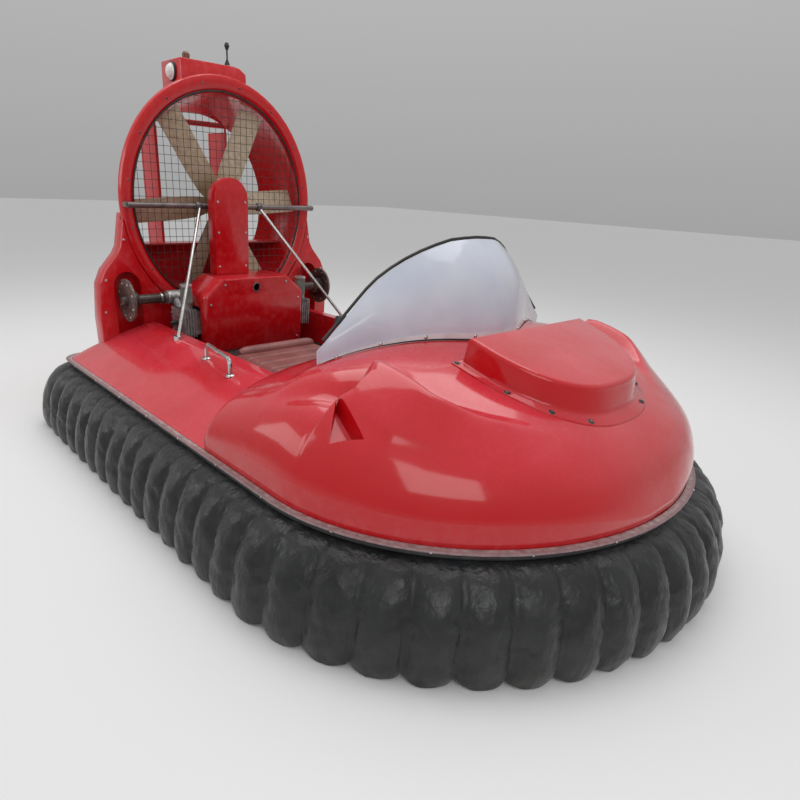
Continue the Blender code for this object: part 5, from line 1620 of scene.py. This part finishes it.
# %% Boot and mat
boot = [(0.0, 0.020), (0.0, 0.048)]
for k in range(5):
    boot += [(0.008 + 0.012 * k, 0.046 - 0.004 * k), (0.014 + 0.012 * k, 0.038 - 0.004 * k)]
boot += [(0.072, 0.0195)]
turned("column_boot", boot, foot + lean * 0.020, lean, rubber, 32)

mat_shape = bmesh.new()
MAT = (0.99, 1.68, 0.30)
MAT_RIBS = 24
RIB_SHARE = 0.55
for k in range(MAT_RIBS):
    low = MAT[0] + (MAT[1] - MAT[0]) * k / MAT_RIBS
    high = low + (MAT[1] - MAT[0]) / MAT_RIBS * RIB_SHARE
    cube = bmesh.ops.create_cube(mat_shape, size=1.0)["verts"]
    bmesh.ops.scale(mat_shape, vec=(high - low, 2 * MAT[2] - 0.02, 0.005), verts=cube)
    bmesh.ops.translate(mat_shape, vec=at((low + high) / 2, 0, FLOOR_Z + 0.0065), verts=cube)
sole = bmesh.ops.create_cube(mat_shape, size=1.0)["verts"]
bmesh.ops.scale(mat_shape, vec=(MAT[1] - MAT[0] + 0.02, 2 * MAT[2], 0.0040), verts=sole)
bmesh.ops.translate(mat_shape, vec=at((MAT[0] + MAT[1]) / 2, 0, FLOOR_Z + 0.0028), verts=sole)
add_piece("floor_mat", mat_shape, rubber, smooth=30)
print("mat ribs", MAT_RIBS)

# %% [markdown]
# ## Engine and exhausts
# Round the cast block sit the small parts that make an engine read as one: plug caps on the
# heads, clamps on the exhaust, bolts round its flange, bands on the air filter.

# %% Exhaust, filter and plug of each side
EXHAUST_AT = 0.170
EXHAUST_Z = 0.612
FLANGE_Y = 0.612
FILTER_AT = 0.305
FILTER_TOP = 0.690
PORT_Y = 0.360
FLANGE_BOLTS = 8
BOLT_RING = 0.082
HEAD_Y = 0.4045
flange_spots, head_spots = [], []
for side, hand in ((-1, "right"), (1, "left")):
    for k in range(FLANGE_BOLTS):
        turn = 2 * math.pi * (k + 0.5) / FLANGE_BOLTS
        for face, aim in ((0.006, side), (-0.006, -side)):
            flange_spots.append((at(EXHAUST_AT + BOLT_RING * math.cos(turn), side * (FLANGE_Y + face),
                                    EXHAUST_Z + BOLT_RING * math.sin(turn)), (0, aim, 0)))
    for k, y in enumerate((0.410, 0.432)):
        turned(f"pipe_clamp_{hand}_{k}", [(0, 0.0232), (0, 0.0275), (0.010, 0.0275), (0.010, 0.0232)],
               at(EXHAUST_AT, side * y - (0.010 if side < 0 else 0), EXHAUST_Z), (0, 1, 0), steel, 36)
    drum = [(0.0, 0.0284)]
    for k in range(18):
        place = 0.004 + k * 0.0038
        drum += [(place, 0.0300), (place + 0.0019, 0.0284)]
    drum += [(0.0760, 0.0284)]
    turned("filter_pleats_" + hand, drum, at(FILTER_AT, side * PORT_Y, FILTER_TOP - 0.086), (0, 0, 1),
           grey_foam, 40)
    turned("filter_lid_" + hand, [(0, 0.0), (0, 0.031), (0.006, 0.031), (0.009, 0.027), (0.009, 0.006),
                                  (0.013, 0.005), (0.013, 0.0)],
           at(FILTER_AT, side * PORT_Y, FILTER_TOP - 0.004), (0, 0, 1), alloy, 32)
    plug = [(-0.004, 0.0), (-0.004, 0.010), (0.006, 0.010), (0.006, 0.0065), (0.016, 0.0062),
            (0.016, 0.0095), (0.030, 0.0090), (0.038, 0.0060), (0.038, 0.0)]
    turned("plug_cap_" + hand, plug, at(0.277, side * HEAD_Y, 0.507), (0, side, 0), rubber, 20)
print("exhaust flanges", FLANGE_Y, "m to each side")

# %% [markdown]
# Bolts hold the flanges and the cylinder heads, and a rim finishes the filler hole in the cover.

# %% Bolts and filler rim
fasteners("flange_bolts", flange_spots, 0.0048, steel, washer=1.4)
for side in SIDES:
    for x in (0.228, 0.327):
        for z in (0.465, 0.550):
            head_spots.append((at(x, side * HEAD_Y, z), (0, side, 0)))
fasteners("head_bolts", head_spots, 0.0048, steel)
filler = [(0, 0.0188), (0, 0.0245), (0.003, 0.0240), (0.0034, 0.0188)]
turned("filler_rim", filler, at(COVER_FRONT - 0.0002, 0, 0.672), (1, 0, 0), black_metal, 40)
print("engine bolts", len(flange_spots) + len(head_spots))

# %% [markdown]
# ## Fittings
# The lamp has a dark rim, the fan's hub a ring of bolts, the stays a clamp on the bar, and the grab
# rails round feet. Each is a turned section, which is how such parts are made.

# %% Lamp rim and hub bolts
TAIL_STARBOARD = -0.185
turned("lamp_rim", [(0.0, 0.0345), (0.0, 0.0390), (0.006, 0.0395), (0.011, 0.0370), (0.009, 0.0345)],
       at(-0.030, TAIL_STARBOARD - 0.0005, 1.600), (0, -1, 0), rubber, 48)
FAN_AT = 0.040
hub_spots = [(at(FAN_AT + 0.0345, 0.036 * math.cos(a), AXIS_Z + 0.036 * math.sin(a)), (1, 0, 0))
             for a in (2 * math.pi * (k + 0.25) / 6 for k in range(6))]
fasteners("hub_bolts", hub_spots, 0.0045, steel, "fan_wheel")
print("hub bolts", len(hub_spots))

# %% [markdown]
# The stays are clamped to the cross bar, and each grab rail stands on two round feet. The feet lie flat
# on the level strip of the deck.

# %% Stay clamps and rail feet
BAR_AT = 0.150
for side, hand in ((-1, "right"), (1, "left")):
    turned("bar_clamp_" + hand, [(-0.014, 0.0132), (-0.014, 0.0185), (-0.010, 0.0195), (0.010, 0.0195),
                                 (0.014, 0.0185), (0.014, 0.0132)],
           at(BAR_AT, side * 0.185, AXIS_Z), (0, 1, 0), black_metal, 32)
    plate = [(-0.004, 0.0096), (-0.004, 0.021), (0.002, 0.021), (0.004, 0.017), (0.007, 0.0120),
             (0.007, 0.0096)]
    for k, (station, y) in enumerate(((0.837, 0.555), (1.073, 0.582))):
        foot_at = at(station, side * y, deck_height(station, y))
        turned(f"rail_foot_{hand}_{k}", plate, foot_at, (0, 0, 1), steel, 28)
print("stays clamped", BAR_AT, "m ahead of the stern edge")

# %% [markdown]
# Screws close the tail box, and small rivets hold the rub strip at even distances along the plan.

# %% Tail box screws and rail rivets
box_spots = [(at(x, y, 1.650), (0, 0, 1)) for x in (-0.13, 0.03) for y in (-0.165, 0.0, 0.09)]
fasteners("tail_box_screws", box_spots, 0.004, steel)
rail_spots = []
RIVET_STEPS = 15
for k in range(1, RIVET_STEPS):
    for side in SIDES:
        run = PLAN_HALF * k / RIVET_STEPS
        spot, normal = plan_place(run) + plan_normal(run) * 0.0205, plan_normal(run)
        rail_spots.append((at(spot.x, side * spot.y, 0.3335), (normal.x, side * normal.y, 0)))
fasteners("rail_rivets", rail_spots, 0.0028, steel, washer=1.3)
print("rivets", len(rail_spots))
